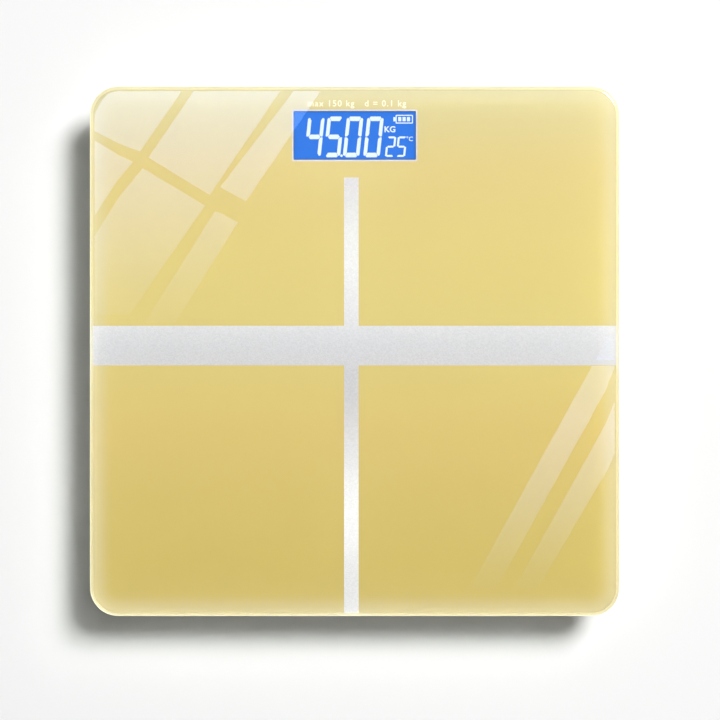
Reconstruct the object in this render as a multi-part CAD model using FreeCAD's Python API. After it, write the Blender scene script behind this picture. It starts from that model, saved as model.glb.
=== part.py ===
"""Digital bathroom scale: a tempered glass platform on a moulded base with four load cell feet.

Frame: X to the right and Y towards the display, as seen by someone standing on the scale, Z up.
The origin is on the floor under the middle of the platform. All sizes are in millimetres.
"""

import FreeCAD
import Part
import math
import os

V = FreeCAD.Vector

# ---------------------------------------------------------------- driving sizes
# Platform
plate_side = 260.0
plate_thickness = 6.0
plate_corner_r = 14.0
plate_top_round = 2.4
plate_bottom_round = 0.8

# Print on the back of the platform
print_thickness = 0.15
print_inset = 0.6
window_width = 60.2
window_height = 24.0
window_to_plate_edge = 11.9
window_border = 0.7
stripe_width = 7.2
stripe_offset_x = -1.65
stripe_to_window = 8.7
band_height = 19.4
band_offset_y = 2.8

# Base shell
base_inset = 5.0
base_corner_r = 12.0
base_edge_round = 7.0
base_wall = 2.4
base_floor = 2.0
floor_gap = 4.0
adhesive_thickness = 0.85
adhesive_pad_inset = 6.0
rib_thickness = 1.4
rib_height = 3.0
rib_pitch = 30.0
label_width = 62.0
label_depth = 34.0
label_sunk = 0.3
label_corner_r = 3.0
label_to_door = 22.0
scoop_r = 12.0
scoop_depth = 1.1
scoop_to_door = 1.5

# Battery bay for two AAA cells
cell_radius = 5.25
cell_end_round = 0.6
cell_body_length = 43.5
cell_nub_radius = 1.9
cell_nub_length = 1.0
cell_spring_length = 5.3
spring_wire_r = 0.3
spring_radius = 3.2
spring_turns = 4
contact_thickness = 0.3
contact_tab_rise = 1.9
contact_tab_width = 2.2
contact_tab_reach = 1.6
contact_inset = 1.2
contact_slot_gap = 0.3
bay_wall = 1.2
bay_ceiling = 1.1
bay_gap = 0.35
cell_clearance = 0.2
bay_head_gap = 0.3

# Battery door
door_thickness = 1.2
door_rib_height = 0.7
door_overlap = 3.3
door_gap = 0.35
door_edge_land = 0.2
door_side_land = 3.8
grip_depth = 0.35
grip_count = 5
grip_half = 9.0
grip_pitch = 1.6
grip_width = 0.7
grip_taper = 0.6
grip_to_edge = 3.0
arrow_half = 3.0
arrow_length = 4.0
arrow_to_edge = 16.0
slit_width = 0.8
slit_length = 2.6
rib_width = 1.2
rib_share = 0.45
tab_width = 6.0
tab_reach = 1.8
tab_thickness = 0.9
tab_spread = 16.0
tab_gap = 0.4
tab_end_gap = 0.7
tab_lip_gap = 0.2
lip_nose = 0.35
latch_width = 12.0
latch_thickness = 1.0
latch_height = 2.4
latch_to_wall = 0.35
nib_height = 0.18
nib_low = 0.9
nib_high = 2.0

# Load cells and feet
load_cell_side = 34.0
load_cell_thickness = 2.0
load_cell_corner_r = 3.0
load_cell_rim = 4.5
load_cell_slot = 3.5
load_cell_neck = 8.0
load_cell_inner_r = 1.5
tongue_back = 0.45
gauge_height = 0.9
gauge_length = 7.0
gauge_inset = 0.4
gauge_to_rim = 0.8
foot_float = 0.8
foot_hole_gap = 0.5
cup_flange_thickness = 1.5
cup_floor = 1.5
cup_collar = 4.0
cup_bottom_round = 1.2
cup_flange_margin = 3.5
cell_seat_gap = 0.2
pad_radius = 19.5
pad_thickness = 2.0
pad_proud = 1.5
pad_round = 0.6
pad_seat_gap = 0.1
tread_depth = 0.6
tread_width = 1.0
tread_radii = (8.8, 14.6)
well_gap = 0.6
well_wall = 1.8
well_to_base_wall = 3.0
bridge_thickness = 3.5
bridge_boss_r = 3.5
bridge_screw_seat = 1.6
bridge_top_web = 1.6
bridge_rim = 2.0
spoke_count = 6
spoke_width = 1.4
ear_margin = 0.6

# Screws
screw_shank_r = 1.1
screw_head_r = 2.3
screw_head_height = 1.4
screw_head_round = 0.6
screw_length = 6.5
screw_grip = 5.5
screw_tip = 0.6
recess_width = 0.5
recess_length = 2.6
recess_depth = 0.7
screw_hole_gap = 0.3
pilot_gap = 0.05
post_r = 3.0
board_post_r = 2.6
post_stand_off = 1.2

# Display stack and circuit board
gasket_thickness = 1.25
glass_sheet = 1.1
polarizer = 0.1
polarizer_margin = 0.5
gasket_margin = 0.8
gasket_inset = 0.3
lcd_side_margin = 2.9
lcd_rear_margin = 2.4
lcd_front_margin = 1.0
lcd_ledge = 4.0
lcd_pin_margin = 5.0
lcd_pin_slot_margin = 0.8
light_guide = 3.4
reflector = 0.2
guide_side_inset = 2.6
guide_inset = 1.2
led_depth = 1.2
led_width = 4.0
led_height = 2.4
led_gap = 0.2
frame_wall = 1.2
frame_gap = 0.15
peg_r = 0.8
peg_gap = 0.15
peg_proud = 0.4
pcb_thickness = 1.6
pcb_front_strip = 13.0
pcb_ear = 4.5
locating_pin_r = 1.2
locating_pin_proud = 0.8
locating_gap = 0.15
post_to_front = 9.0
post_to_rear = 5.0
post_shift = 2.0
pin_count = 16
pin_r = 0.25
drop_r = 6.5
drop_height = 1.5
drop_x = 8.0
sensor_x = -22.0
sensor_r = 1.3
sensor_height = 3.0

# Unit button
button_r = 4.0
button_gap = 0.2
button_travel = 0.3
button_flange = 0.9
button_lip = 1.2
button_seat_gap = 0.02
button_seat_depth = 0.5
button_to_window = 4.0
button_sunk = 0.3
button_round = 0.5
button_dimple_r = 14.0
button_dimple = 0.35
switch_side = 6.0
switch_gap = 0.15
plunger_r = 1.7
plunger_height = 0.8
button_x = -16.0

# Wires
wire_r = 0.45
wire_pitch = 1.2
wire_floor_gap = 0.15
wire_cell_gap = 0.1
wire_pad_gap = 0.1
wire_side_gap = 0.8
wire_alley = 16.5
wire_bend_share = 0.45
wire_lane = 9.5
wire_pads = {"rear": 29.0, "front": 19.0}
wire_rows = {"rear": 4.5, "front": 9.5}
lead_pads = (5.5, 9.0)
lead_rows = (13.9, 12.6)
lead_lanes = (3.2, 4.8)

# ---------------------------------------------------------------- levels (Z) and places
plate_half = plate_side / 2
base_half = plate_half - base_inset
base_bottom = floor_gap
floor_top = base_bottom + base_floor
door_inner = base_bottom + door_thickness
cell_bottom = door_inner + door_rib_height + cell_clearance
cell_axis = cell_bottom + cell_radius
bay_top = cell_axis + cell_radius + bay_head_gap
base_top = bay_top + bay_ceiling
print_bottom = base_top + adhesive_thickness
plate_bottom = print_bottom + print_thickness
plate_top = plate_bottom + plate_thickness

window_y = plate_half - window_to_plate_edge - window_height / 2

lcd_top = print_bottom - gasket_thickness
lcd_bottom = lcd_top - 2 * glass_sheet - 2 * polarizer
guide_bottom = lcd_bottom - light_guide
pcb_top = guide_bottom - reflector
pcb_bottom = pcb_top - pcb_thickness
lcd_half_x = window_width / 2 + lcd_side_margin
lcd_rear_y = window_y + window_height / 2 + lcd_rear_margin
lcd_front_y = window_y - window_height / 2 - lcd_front_margin - lcd_ledge
frame_half_x = lcd_half_x + frame_gap + frame_wall
frame_rear_y = lcd_rear_y + frame_gap + frame_wall
frame_front_y = lcd_front_y - frame_gap - frame_wall
pcb_front_y = frame_front_y - pcb_front_strip
pcb_half_x = frame_half_x + pcb_ear
guide_half_x = lcd_half_x - guide_side_inset
guide_front_y = lcd_front_y + lcd_ledge + guide_inset
guide_rear_y = lcd_rear_y - guide_inset
guide_well_x = guide_half_x + led_depth + led_gap
button_y = window_y - button_to_window
button_face = base_bottom + button_sunk
button_seat = floor_top - button_seat_depth
button_low = button_seat + button_seat_gap
button_top = button_low + button_flange
plunger_top = button_top + plunger_height

bay_half_x = (cell_body_length + cell_nub_length + cell_spring_length) / 2 + contact_thickness
cell_y = cell_radius + bay_gap
bay_half_y = cell_y + cell_radius + bay_gap
door_half_x = bay_half_x + door_side_land
door_half_y = bay_half_y + door_overlap
bay_y = pcb_front_y - wire_alley - door_half_y - tab_reach

cup_top_ledge = floor_top + foot_float + cup_flange_thickness
load_cell_top = cup_top_ledge + load_cell_thickness
load_cell_reach = load_cell_side / math.sqrt(2) - load_cell_corner_r * (math.sqrt(2) - 1)
flange_r = load_cell_reach + cup_flange_margin
cup_r = flange_r - cup_collar
foot_hole_r = cup_r + foot_hole_gap
well_inner_r = flange_r + well_gap
well_outer_r = well_inner_r + well_wall
post_ring_r = well_outer_r + post_stand_off
bridge_bottom = base_top - bridge_thickness
bridge_seat = base_top - bridge_screw_seat
foot_c = base_half - base_wall - post_ring_r - post_r - well_to_base_wall
lane_x = foot_c - well_outer_r - wire_lane
wire_low = floor_top + wire_floor_gap + wire_r
wire_high = load_cell_top + wire_cell_gap + wire_r
wire_margin = wire_pitch + wire_r + wire_side_gap
gauge_edge = foot_c - load_cell_side / 2 + load_cell_rim + gauge_to_rim

corners = {
    "front_left": (-1, -1),
    "front_right": (1, -1),
    "rear_left": (-1, 1),
    "rear_right": (1, 1),
}
post_angles = (60.0, 180.0, 300.0)


# ---------------------------------------------------------------- helpers
def box(x0, x1, y0, y1, z0, z1):
    """A box between two corners, given in any order."""
    low = V(min(x0, x1), min(y0, y1), min(z0, z1))
    return Part.makeBox(abs(x1 - x0), abs(y1 - y0), abs(z1 - z0), low)


def cylinder(radius, x, y, z0, z1):
    """An upright cylinder."""
    return Part.makeCylinder(radius, z1 - z0, V(x, y, z0), V(0, 0, 1))


def rounded_outline(half_x, half_y, radius, z, cx=0.0, cy=0.0):
    """A closed rectangle with round corners, as a wire at height z."""
    edges = []
    centres = ((half_x - radius, half_y - radius), (radius - half_x, half_y - radius),
               (radius - half_x, radius - half_y), (half_x - radius, radius - half_y))
    for quarter, (ox, oy) in enumerate(centres):
        start = quarter * math.pi / 2
        points = []
        for share in (0.0, 0.5, 1.0):
            angle = start + share * math.pi / 2
            points.append(V(cx + ox + radius * math.cos(angle), cy + oy + radius * math.sin(angle), z))
        edges.append((points, Part.Arc(*points).toShape()))
    loop = []
    for index, (points, arc) in enumerate(edges):
        loop.append(arc)
        after = edges[(index + 1) % 4][0][0]
        if points[2].distanceToPoint(after) > 1e-6:
            loop.append(Part.LineSegment(points[2], after).toShape())
    return Part.Wire(loop)


def rounded_block(half_x, half_y, radius, z0, z1, cx=0.0, cy=0.0):
    """An upright block with round vertical corners."""
    face = Part.Face(rounded_outline(half_x, half_y, radius, z0, cx, cy))
    return face.extrude(V(0, 0, z1 - z0))


def edges_at(shape, z):
    """The edges of a shape that lie wholly at height z."""
    return [e for e in shape.Edges if abs(e.BoundBox.ZMin - z) < 1e-4 and abs(e.BoundBox.ZMax - z) < 1e-4]


def fused(shapes):
    """Several shapes as one, with the seams between coplanar faces removed."""
    return shapes[0].fuse(shapes[1:]).removeSplitter()


def rounded_path(points):
    """A wire of straight runs with a tangent arc at each corner, as large as the two runs allow."""
    edges, last = [], points[0]
    for before, at, after in zip(points, points[1:], points[2:]):
        to_before, to_after = (before - at), (after - at)
        shorter = min(to_before.Length, to_after.Length)
        to_before.normalize()
        to_after.normalize()
        half_turn = (math.pi - to_before.getAngle(to_after)) / 2
        cut = wire_bend_share * shorter
        radius = cut / math.tan(half_turn)
        start, end = at + to_before * cut, at + to_after * cut
        inward = to_before + to_after
        inward.normalize()
        centre = at + inward * (radius / math.cos(half_turn))
        middle = centre - inward * radius
        edges.append(Part.LineSegment(last, start).toShape())
        edges.append(Part.Arc(start, middle, end).toShape())
        last = end
    edges.append(Part.LineSegment(last, points[-1]).toShape())
    return Part.Wire(edges)


def tube(points, radius):
    """A round wire along a route of points."""
    path = rounded_path(points)
    heading = points[1] - points[0]
    section = Part.Wire([Part.makeCircle(radius, points[0], heading)])
    return path.makePipeShell([section], True, False)


def write(name, shape):
    """One sub-part as a STEP file."""
    shape.exportStep(os.path.join("parts", name + ".step"))


# ---------------------------------------------------------------- platform and print
def glass_platform():
    """Tempered glass with a polished round edge."""
    plate = rounded_block(plate_half, plate_half, plate_corner_r, plate_bottom, plate_top)
    plate = plate.makeFillet(plate_top_round, edges_at(plate, plate_top))
    return plate.makeFillet(plate_bottom_round, edges_at(plate, plate_bottom))


def print_sheet():
    """The whole printed area, before it is divided by colour."""
    half = plate_half - plate_bottom_round - print_inset
    return rounded_block(half, half, plate_corner_r - plate_bottom_round - print_inset,
                         print_bottom, plate_bottom)


def frame_block(half_x, y0, y1, z0, z1):
    """A box centred on X, between two Y values."""
    return box(-half_x, half_x, y0, y1, z0, z1)


def window_block(margin, z0, z1):
    """A block over the display window, grown by a margin all round."""
    grown_y = window_height / 2 + margin
    return frame_block(window_width / 2 + margin, window_y - grown_y, window_y + grown_y, z0, z1)


def silver_areas():
    """The cross and the window's border, taller than the print, to cut it with."""
    low, high = print_bottom - 1, plate_bottom + 1
    half = band_height / 2
    band = frame_block(plate_half, band_offset_y - half, band_offset_y + half, low, high)
    half = stripe_width / 2
    stripe_rear = window_y - window_height / 2 - stripe_to_window
    stripe = box(stripe_offset_x - half, stripe_offset_x + half, -plate_half, stripe_rear, low, high)
    return fused([band, stripe]).fuse(window_block(window_border, low, high))


def window_cut():
    """The clear display window."""
    return window_block(0, print_bottom - 1, plate_bottom + 1)


def platform_adhesive():
    """A bead on the base's rim and a round pad on each load bridge."""
    ring = rounded_block(base_half, base_half, base_corner_r, base_top, print_bottom)
    half = base_half - base_wall
    inner = rounded_block(half, half, base_corner_r - base_wall, base_top, print_bottom)
    pad_r = well_inner_r - adhesive_pad_inset
    pads = [cylinder(pad_r, sx * foot_c, sy * foot_c, base_top, print_bottom) for sx, sy in corners.values()]
    return Part.makeCompound([ring.cut(inner)] + pads)


# ---------------------------------------------------------------- base shell
def post_places(sx, sy):
    """The three screw posts round a foot well. The first two lean towards the scale's middle line."""
    for angle in post_angles:
        turn = math.radians(angle)
        yield (sx * (foot_c - post_ring_r * math.cos(turn)), sy * foot_c + post_ring_r * math.sin(turn))


def pcb_posts():
    """Screw posts under the board's front strip, and locating posts at its rear corners."""
    x = pcb_half_x - pcb_ear / 2
    front = [(side * (x - post_shift), pcb_front_y + post_to_front) for side in (-1, 1)]
    rear = [(side * x, frame_rear_y - post_to_rear) for side in (-1, 1)]
    return front, rear


def to_the_pad(x, row_y):
    """The last points of a wire: from its row up past the board's edge and down onto its pad."""
    return [
        V(x, row_y, wire_low),
        V(x, pcb_front_y - 2.5, wire_low + 0.6),
        V(x, pcb_front_y - 2.0, pcb_top + 1.6),
        V(x, pcb_front_y + 3.5, pcb_top + wire_r + wire_pad_gap),
    ]


def wire_route(row, sx, sy, step):
    """One wire of a load cell: over the cup's collar, down to the floor, along the lane, to the board."""
    y = sy * foot_c + step
    x_out = foot_c - well_outer_r - 0.8
    lane_side = -1 if row == "rear" else 1
    x_lane = lane_x + lane_side * step
    row_y = pcb_front_y - wire_rows[row] + step
    return [
        V(sx * gauge_edge, y, wire_high),
        V(sx * x_out, y, wire_high),
        V(sx * (x_out - wire_high + wire_low), y, wire_low),
        V(sx * x_lane, y, wire_low),
        V(sx * x_lane, row_y, wire_low),
    ] + to_the_pad(sx * (wire_pads[row] + step), row_y)


def rib_keep_outs():
    """The places that the floor's ribs leave free: wells, battery bay, board and wire lanes."""
    rear_row = pcb_front_y
    front_row = pcb_front_y - wire_rows["front"] - wire_margin
    door_rear = bay_y + door_half_y + tab_reach + 3.0
    sweep = wire_bend_share * (lane_x - wire_pads["front"]) + 1.0
    well_r = well_outer_r - well_wall / 2
    zones = [cylinder(well_r, sx * foot_c, sy * foot_c, 0, base_top) for sx, sy in corners.values()]
    zones.append(box(-bay_half_x, bay_half_x, bay_y - bay_half_y, bay_y + bay_half_y, 0, base_top))
    zones.append(box(-door_half_x - 2, door_half_x + 2, bay_y + bay_half_y, door_rear, 0, base_top))
    zones.append(box(-pcb_half_x - 1, pcb_half_x + 1, pcb_front_y - 1, base_half - base_wall, 0, base_top))
    zones.append(box(-lane_x - wire_margin, lane_x + wire_margin, front_row, rear_row, 0, base_top))
    lead_x = bay_half_x + bay_wall + lead_lanes[1] + 1.5
    zones.append(box(bay_half_x, lead_x, bay_y - cell_y - 3.0, rear_row, 0, base_top))
    for sx in (-1, 1):
        inner, outer = sx * (lane_x - wire_margin), sx * (lane_x + wire_margin)
        zones.append(box(inner, outer, -foot_c - wire_margin, foot_c + wire_margin, 0, base_top))
        zones.append(box(sx * (lane_x - sweep), outer, front_row - sweep, front_row, 0, base_top))
        for sy in (-1, 1):
            y = sy * foot_c
            zones.append(box(inner, sx * foot_c, y - wire_margin, y + wire_margin, 0, base_top))
    return zones


def tray_block(inset, low, high):
    """A block of the tray's outline drawn in by an inset, with its lower edge rounded to match."""
    half = base_half - inset
    block = rounded_block(half, half, base_corner_r - inset, low, high)
    return block.makeFillet(base_edge_round - inset, edges_at(block, low))


def rib_grid():
    """Stiffening ribs on the floor, kept clear of everything that stands on it."""
    count = int((base_half - base_wall) // rib_pitch)
    reach = base_half - base_wall / 2
    half = rib_thickness / 2
    top = floor_top + rib_height
    ribs = []
    for index in range(-count, count + 1):
        at = index * rib_pitch
        ribs.append(box(at - half, at + half, -reach, reach, floor_top - 1, top))
        ribs.append(box(-reach, reach, at - half, at + half, floor_top - 1, top))
    grid = ribs[0].fuse(ribs[1:])
    inside = tray_block(base_wall / 2, base_bottom + base_floor / 2, base_top)
    return grid.cut(rib_keep_outs()).common(inside)


def tray():
    """The base's outside and its empty inside, as two solids."""
    return tray_block(0, base_bottom, base_top), tray_block(base_wall, floor_top, base_top + 1)


def foot_well(sx, sy):
    """Material and cuts of one well: its wall, the foot's hole, the wires' notch, three screw posts."""
    x, y = sx * foot_c, sy * foot_c
    top = bridge_bottom
    notch = wire_margin
    added = [cylinder(well_outer_r, x, y, floor_top - 1, top)]
    removed = [
        cylinder(well_inner_r, x, y, floor_top, base_top),
        cylinder(foot_hole_r, x, y, 0, base_top),
        box(x, sx * (foot_c - well_outer_r - 2), y - notch, y + notch, floor_top, top + 1),
    ]
    for px, py in post_places(sx, sy):
        added.append(cylinder(post_r, px, py, floor_top - 1, top))
        removed.append(cylinder(screw_shank_r + pilot_gap, px, py, bridge_seat - screw_length, top + 1))
    return added, removed


def battery_bay():
    """Material and cuts of the bay, which opens downwards into the door's recess."""
    wall_x, wall_y = bay_half_x + bay_wall, bay_half_y + bay_wall
    added = [box(-wall_x, wall_x, bay_y - wall_y, bay_y + wall_y, floor_top - 1, base_top)]
    inside = box(-bay_half_x, bay_half_x, bay_y - bay_half_y, bay_y + bay_half_y, 0, bay_top)
    removed = [inside, door_recess()]
    slot_low = cell_axis + contact_tab_rise - contact_slot_gap
    slot_high = slot_low + contact_thickness + 2 * contact_slot_gap
    slot_half = contact_tab_width / 2 + contact_slot_gap
    for y in (bay_y + cell_y, bay_y - cell_y):
        removed.append(box(bay_half_x - 1, wall_x + 1, y - slot_half, y + slot_half, slot_low, slot_high))
    return added, removed


def board_posts():
    """Material and cuts of the posts that carry the board."""
    front, rear = pcb_posts()
    added = [cylinder(board_post_r, x, y, floor_top - 1, pcb_bottom) for x, y in front + rear]
    pin_top = pcb_top + locating_pin_proud
    added.extend(cylinder(locating_pin_r, x, y, pcb_bottom - 1, pin_top) for x, y in rear)
    pilot_low = pcb_top - screw_grip - pilot_gap
    removed = [cylinder(screw_shank_r + pilot_gap, x, y, pilot_low, pcb_bottom + 1) for x, y in front]
    return added, removed


def outside_details():
    """Cuts in the underside: the unit button's stepped hole, the rating plate's recess, the finger scoop."""
    half_x, half_y = label_width / 2, label_depth / 2
    label_y = bay_y - door_half_y - label_to_door - half_y
    scoop_z = base_bottom + scoop_depth - scoop_r
    return [
        cylinder(button_r + button_gap, button_x, button_y, 0, base_top),
        cylinder(button_r + button_lip + button_gap, button_x, button_y, button_seat, base_top),
        rounded_block(half_x, half_y, label_corner_r, 0, base_bottom + label_sunk, 0, label_y),
        Part.makeSphere(scoop_r, V(0, bay_y - door_half_y - scoop_to_door, scoop_z)),
    ]


def base_shell():
    """Moulded tray with the foot wells, the battery bay, posts and ribs."""
    outer, cavity = tray()
    features = [foot_well(sx, sy) for sx, sy in corners.values()] + [battery_bay(), board_posts()]
    added = [solid for material, _ in features for solid in material]
    removed = [solid for _, cuts in features for solid in cuts]
    shell = outer.cut(cavity).fuse(added + [rib_grid()]).cut(removed + outside_details())
    return shell.removeSplitter()


def prism_along_x(points, x0, x1):
    """A solid with an outline of (y, z) points, from x0 to x1."""
    outline = [V(x0, y, z) for y, z in points]
    return Part.Face(Part.makePolygon(outline + outline[:1])).extrude(V(x1 - x0, 0, 0))


def lip_slope(x0, x1, y, z):
    """The cut at 45 degrees below a lip, so that the door's edge can swing past it."""
    drop = z - base_bottom + 0.5
    return prism_along_x([(y - 0.01, z), (y - 0.01, z - drop), (y + drop, z - drop)], x0, x1)


def door_recess():
    """The stepped recess that the battery door closes, with the pockets for its two tabs."""
    x, y = door_half_x + door_gap, door_half_y + door_gap
    y1 = bay_y + y
    lip_top = door_inner - tab_lip_gap
    parts = [box(-x, x, bay_y - y, y1, 0, door_inner), lip_slope(-x, x, y1, lip_top - lip_nose)]
    half = tab_width / 2 + tab_gap
    pocket_rear = y1 + tab_reach + tab_end_gap
    for cx in (-tab_spread, tab_spread):
        parts.append(box(cx - half, cx + half, bay_y + bay_half_y - 1, pocket_rear, lip_top, floor_top + 1))
    return parts[0].fuse(parts[1:])


# ---------------------------------------------------------------- battery door
def door_plate():
    """The door's plate, with the lower corner of its hinge edge cut at 45 degrees."""
    y0, y1 = bay_y - door_half_y, bay_y + door_half_y
    plate = box(-door_half_x, door_half_x, y0, y1, base_bottom, door_inner)
    cut = door_thickness - door_edge_land
    wedge = [(y1 + 0.01, base_bottom + cut), (y1 + 0.01, base_bottom - 0.01), (y1 - cut, base_bottom - 0.01)]
    return plate.cut(prism_along_x(wedge, -door_half_x - 1, door_half_x + 1))


def door_inner_features():
    """The hinge tabs, the two ribs that steady the cells, and the spring tongue with its nib."""
    y1 = bay_y + door_half_y
    low = door_inner - 0.1
    added = []
    half, root = tab_width / 2, y1 - door_overlap + tab_gap
    for cx in (-tab_spread, tab_spread):
        added.append(box(cx - half, cx + half, root, y1 + tab_reach, door_inner, door_inner + tab_thickness))
    half, reach = rib_width / 2, bay_half_x - bay_wall
    for y in (bay_y - rib_share * bay_half_y, bay_y + rib_share * bay_half_y):
        added.append(frame_block(reach, y - half, y + half, low, door_inner + door_rib_height))
    tongue_y = bay_y - bay_half_y + latch_to_wall
    half = latch_width / 2
    added.append(frame_block(half, tongue_y, tongue_y + latch_thickness, low, door_inner + latch_height))
    nib = [(tongue_y + 0.1, door_inner + nib_low), (tongue_y - nib_height, door_inner + nib_low + 0.1),
           (tongue_y + 0.1, door_inner + nib_high)]
    added.append(prism_along_x(nib, 1 - half, half - 1))
    return added


def door_outer_cuts():
    """Grip grooves that shorten towards an arrow, and the slits beside the spring tongue."""
    y0 = bay_y - door_half_y
    groove_top = base_bottom + grip_depth
    cuts = []
    for index in range(grip_count):
        y = y0 + grip_to_edge + index * grip_pitch
        half = grip_half - index * grip_taper
        cuts.append(frame_block(half, y, y + grip_width, base_bottom - 1, groove_top))
    back = y0 + arrow_to_edge
    corners_xy = ((-arrow_half, back), (arrow_half, back), (0, back - arrow_length), (-arrow_half, back))
    arrow = Part.makePolygon([V(x, y, groove_top) for x, y in corners_xy])
    cuts.append(Part.Face(arrow).extrude(V(0, 0, -1)))
    near = grip_half + slit_width
    for side in (-1, 1):
        cuts.append(box(side * near, side * (near + slit_width), y0 - 1, y0 + slit_length,
                        base_bottom - 1, door_inner + 1))
    return cuts


def battery_door():
    """Snap-in door: two tabs at the rear edge, a spring tongue at the front edge, grip grooves outside."""
    return fused([door_plate()] + door_inner_features()).cut(door_outer_cuts()).removeSplitter()


def battery_cell(side):
    """One AAA cell along X: side 1 has its nub towards +X."""
    start = -side * (bay_half_x - contact_thickness - cell_spring_length)
    y = bay_y + side * cell_y
    axis = V(side, 0, 0)
    body = Part.makeCylinder(cell_radius, cell_body_length, V(start, y, cell_axis), axis)
    ends = [e for e in body.Edges if e.Curve.TypeId == "Part::GeomCircle"]
    body = body.makeFillet(cell_end_round, ends)
    nub_at = V(start + side * cell_body_length, y, cell_axis)
    nub = Part.makeCylinder(cell_nub_radius, cell_nub_length, nub_at, axis)
    return body.fuse(nub)


def battery_springs():
    """The two coil springs at the cells' flat ends."""
    springs = []
    length = cell_spring_length - 2 * spring_wire_r
    end_x = bay_half_x - contact_thickness - spring_wire_r
    for side in (-1, 1):
        helix = Part.makeHelix(length / spring_turns, length, spring_radius)
        section = Part.Wire([Part.makeCircle(spring_wire_r, V(spring_radius, 0, 0), V(0, 1, 0))])
        coil = Part.Wire(helix).makePipeShell([section], True, True)
        coil.rotate(V(0, 0, 0), V(0, 1, 0), 90 * side)
        coil.translate(V(-side * end_x, bay_y + side * cell_y, cell_axis))
        springs.append(coil)
    return Part.makeCompound(springs)


def battery_contacts():
    """Nickel plates at the bay's ends: one bridge on the left, two with solder tabs on the right."""
    half = cell_radius - contact_inset
    low, high = cell_axis - half, cell_axis + half
    reach = cell_y + half
    x = bay_half_x
    plates = [box(-x, -x + contact_thickness, bay_y - reach, bay_y + reach, low, high)]
    tab_low, tab_half = cell_axis + contact_tab_rise, contact_tab_width / 2
    tab_high = tab_low + contact_thickness
    tab_end = x + bay_wall + contact_tab_reach
    for side in (-1, 1):
        y = bay_y + side * cell_y
        plate = box(x - contact_thickness, x, y - half, y + half, low, high)
        tab = box(x - contact_thickness, tab_end, y - tab_half, y + tab_half, tab_low, tab_high)
        plates.append(plate.fuse(tab).removeSplitter())
    return Part.makeCompound(plates)


def battery_leads():
    """The two leads from the solder tabs to the board."""
    top = cell_axis + contact_tab_rise + contact_thickness + wire_r
    leads = []
    for side, lane, row, pad_x in zip((1, -1), lead_lanes, lead_rows, lead_pads):
        y = bay_y + side * cell_y
        run_x = bay_half_x + bay_wall + lane
        row_y = pcb_front_y - row
        points = [
            V(bay_half_x + bay_wall + 0.3, y, top),
            V(run_x, y, top),
            V(run_x, y + 2.0, wire_low + 1.5),
            V(run_x, y + 5.5, wire_low),
            V(run_x, row_y, wire_low),
        ]
        leads.append(tube(points + to_the_pad(pad_x, row_y), wire_r))
    return Part.makeCompound(leads)


# ---------------------------------------------------------------- feet and load cells
def foot_pad(x, y):
    """Soft round pad with grooves in its tread."""
    pad = cylinder(pad_radius, x, y, 0, pad_thickness)
    pad = pad.makeFillet(pad_round, edges_at(pad, 0))
    half = tread_width / 2
    grooves = []
    for radius in tread_radii:
        ring = cylinder(radius + half, x, y, -1, tread_depth)
        grooves.append(ring.cut(cylinder(radius - half, x, y, -1, tread_depth)))
    return pad.cut(grooves)


def foot_cup(x, y):
    """Round cup that floats in the base's hole: it carries the load cell on its ledge."""
    body = cylinder(cup_r, x, y, pad_proud, cup_top_ledge)
    body = body.makeFillet(cup_bottom_round, edges_at(body, pad_proud))
    flange = cylinder(flange_r, x, y, cup_top_ledge - cup_flange_thickness, load_cell_top)
    cup = body.fuse(flange)
    half = load_cell_side / 2 + cell_seat_gap
    pocket_r = load_cell_corner_r + cell_seat_gap
    pocket = rounded_block(half, half, pocket_r, cup_top_ledge, load_cell_top + 1, x, y)
    hollow = cylinder(load_cell_side / 2 - load_cell_rim, x, y, pad_thickness + cup_floor, load_cell_top)
    seat = cylinder(pad_radius + pad_seat_gap, x, y, 0, pad_thickness)
    return cup.cut([pocket, hollow, seat]).removeSplitter()


def load_cell(sx, x, y):
    """Stamped steel half-bridge cell: a rim, and a tongue held by one neck on the inner side."""
    half = load_cell_side / 2
    z0, z1 = cup_top_ledge, load_cell_top
    cell = rounded_block(half, half, load_cell_corner_r, z0, z1, x, y)
    inner = half - load_cell_rim
    window = rounded_block(inner, inner, load_cell_inner_r, z0, z1, x, y)
    half_y = inner - load_cell_slot
    half_x = half_y * (1 + tongue_back) / 2
    head_r = load_cell_inner_r * 2 / 3
    head = rounded_block(half_x, half_y, head_r, z0, z1, x + sx * (half_y - half_x), y)
    neck_half = load_cell_neck / 2
    neck = box(x - sx * (inner + 0.5), x, y - neck_half, y + neck_half, z0, z1)
    return cell.cut(window).fuse([head, neck]).removeSplitter()


def strain_gauge(sx, x, y):
    """The gauge on the neck under its cap of white sealant."""
    edge = load_cell_side / 2 - load_cell_rim - gauge_to_rim
    half = load_cell_neck / 2 - gauge_inset
    top = load_cell_top + gauge_height + wire_r
    cap = box(x - sx * (edge - gauge_length), x - sx * edge, y - half, y + half, load_cell_top, top)
    return cap.makeFillet(gauge_inset, edges_at(cap, top))


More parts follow.
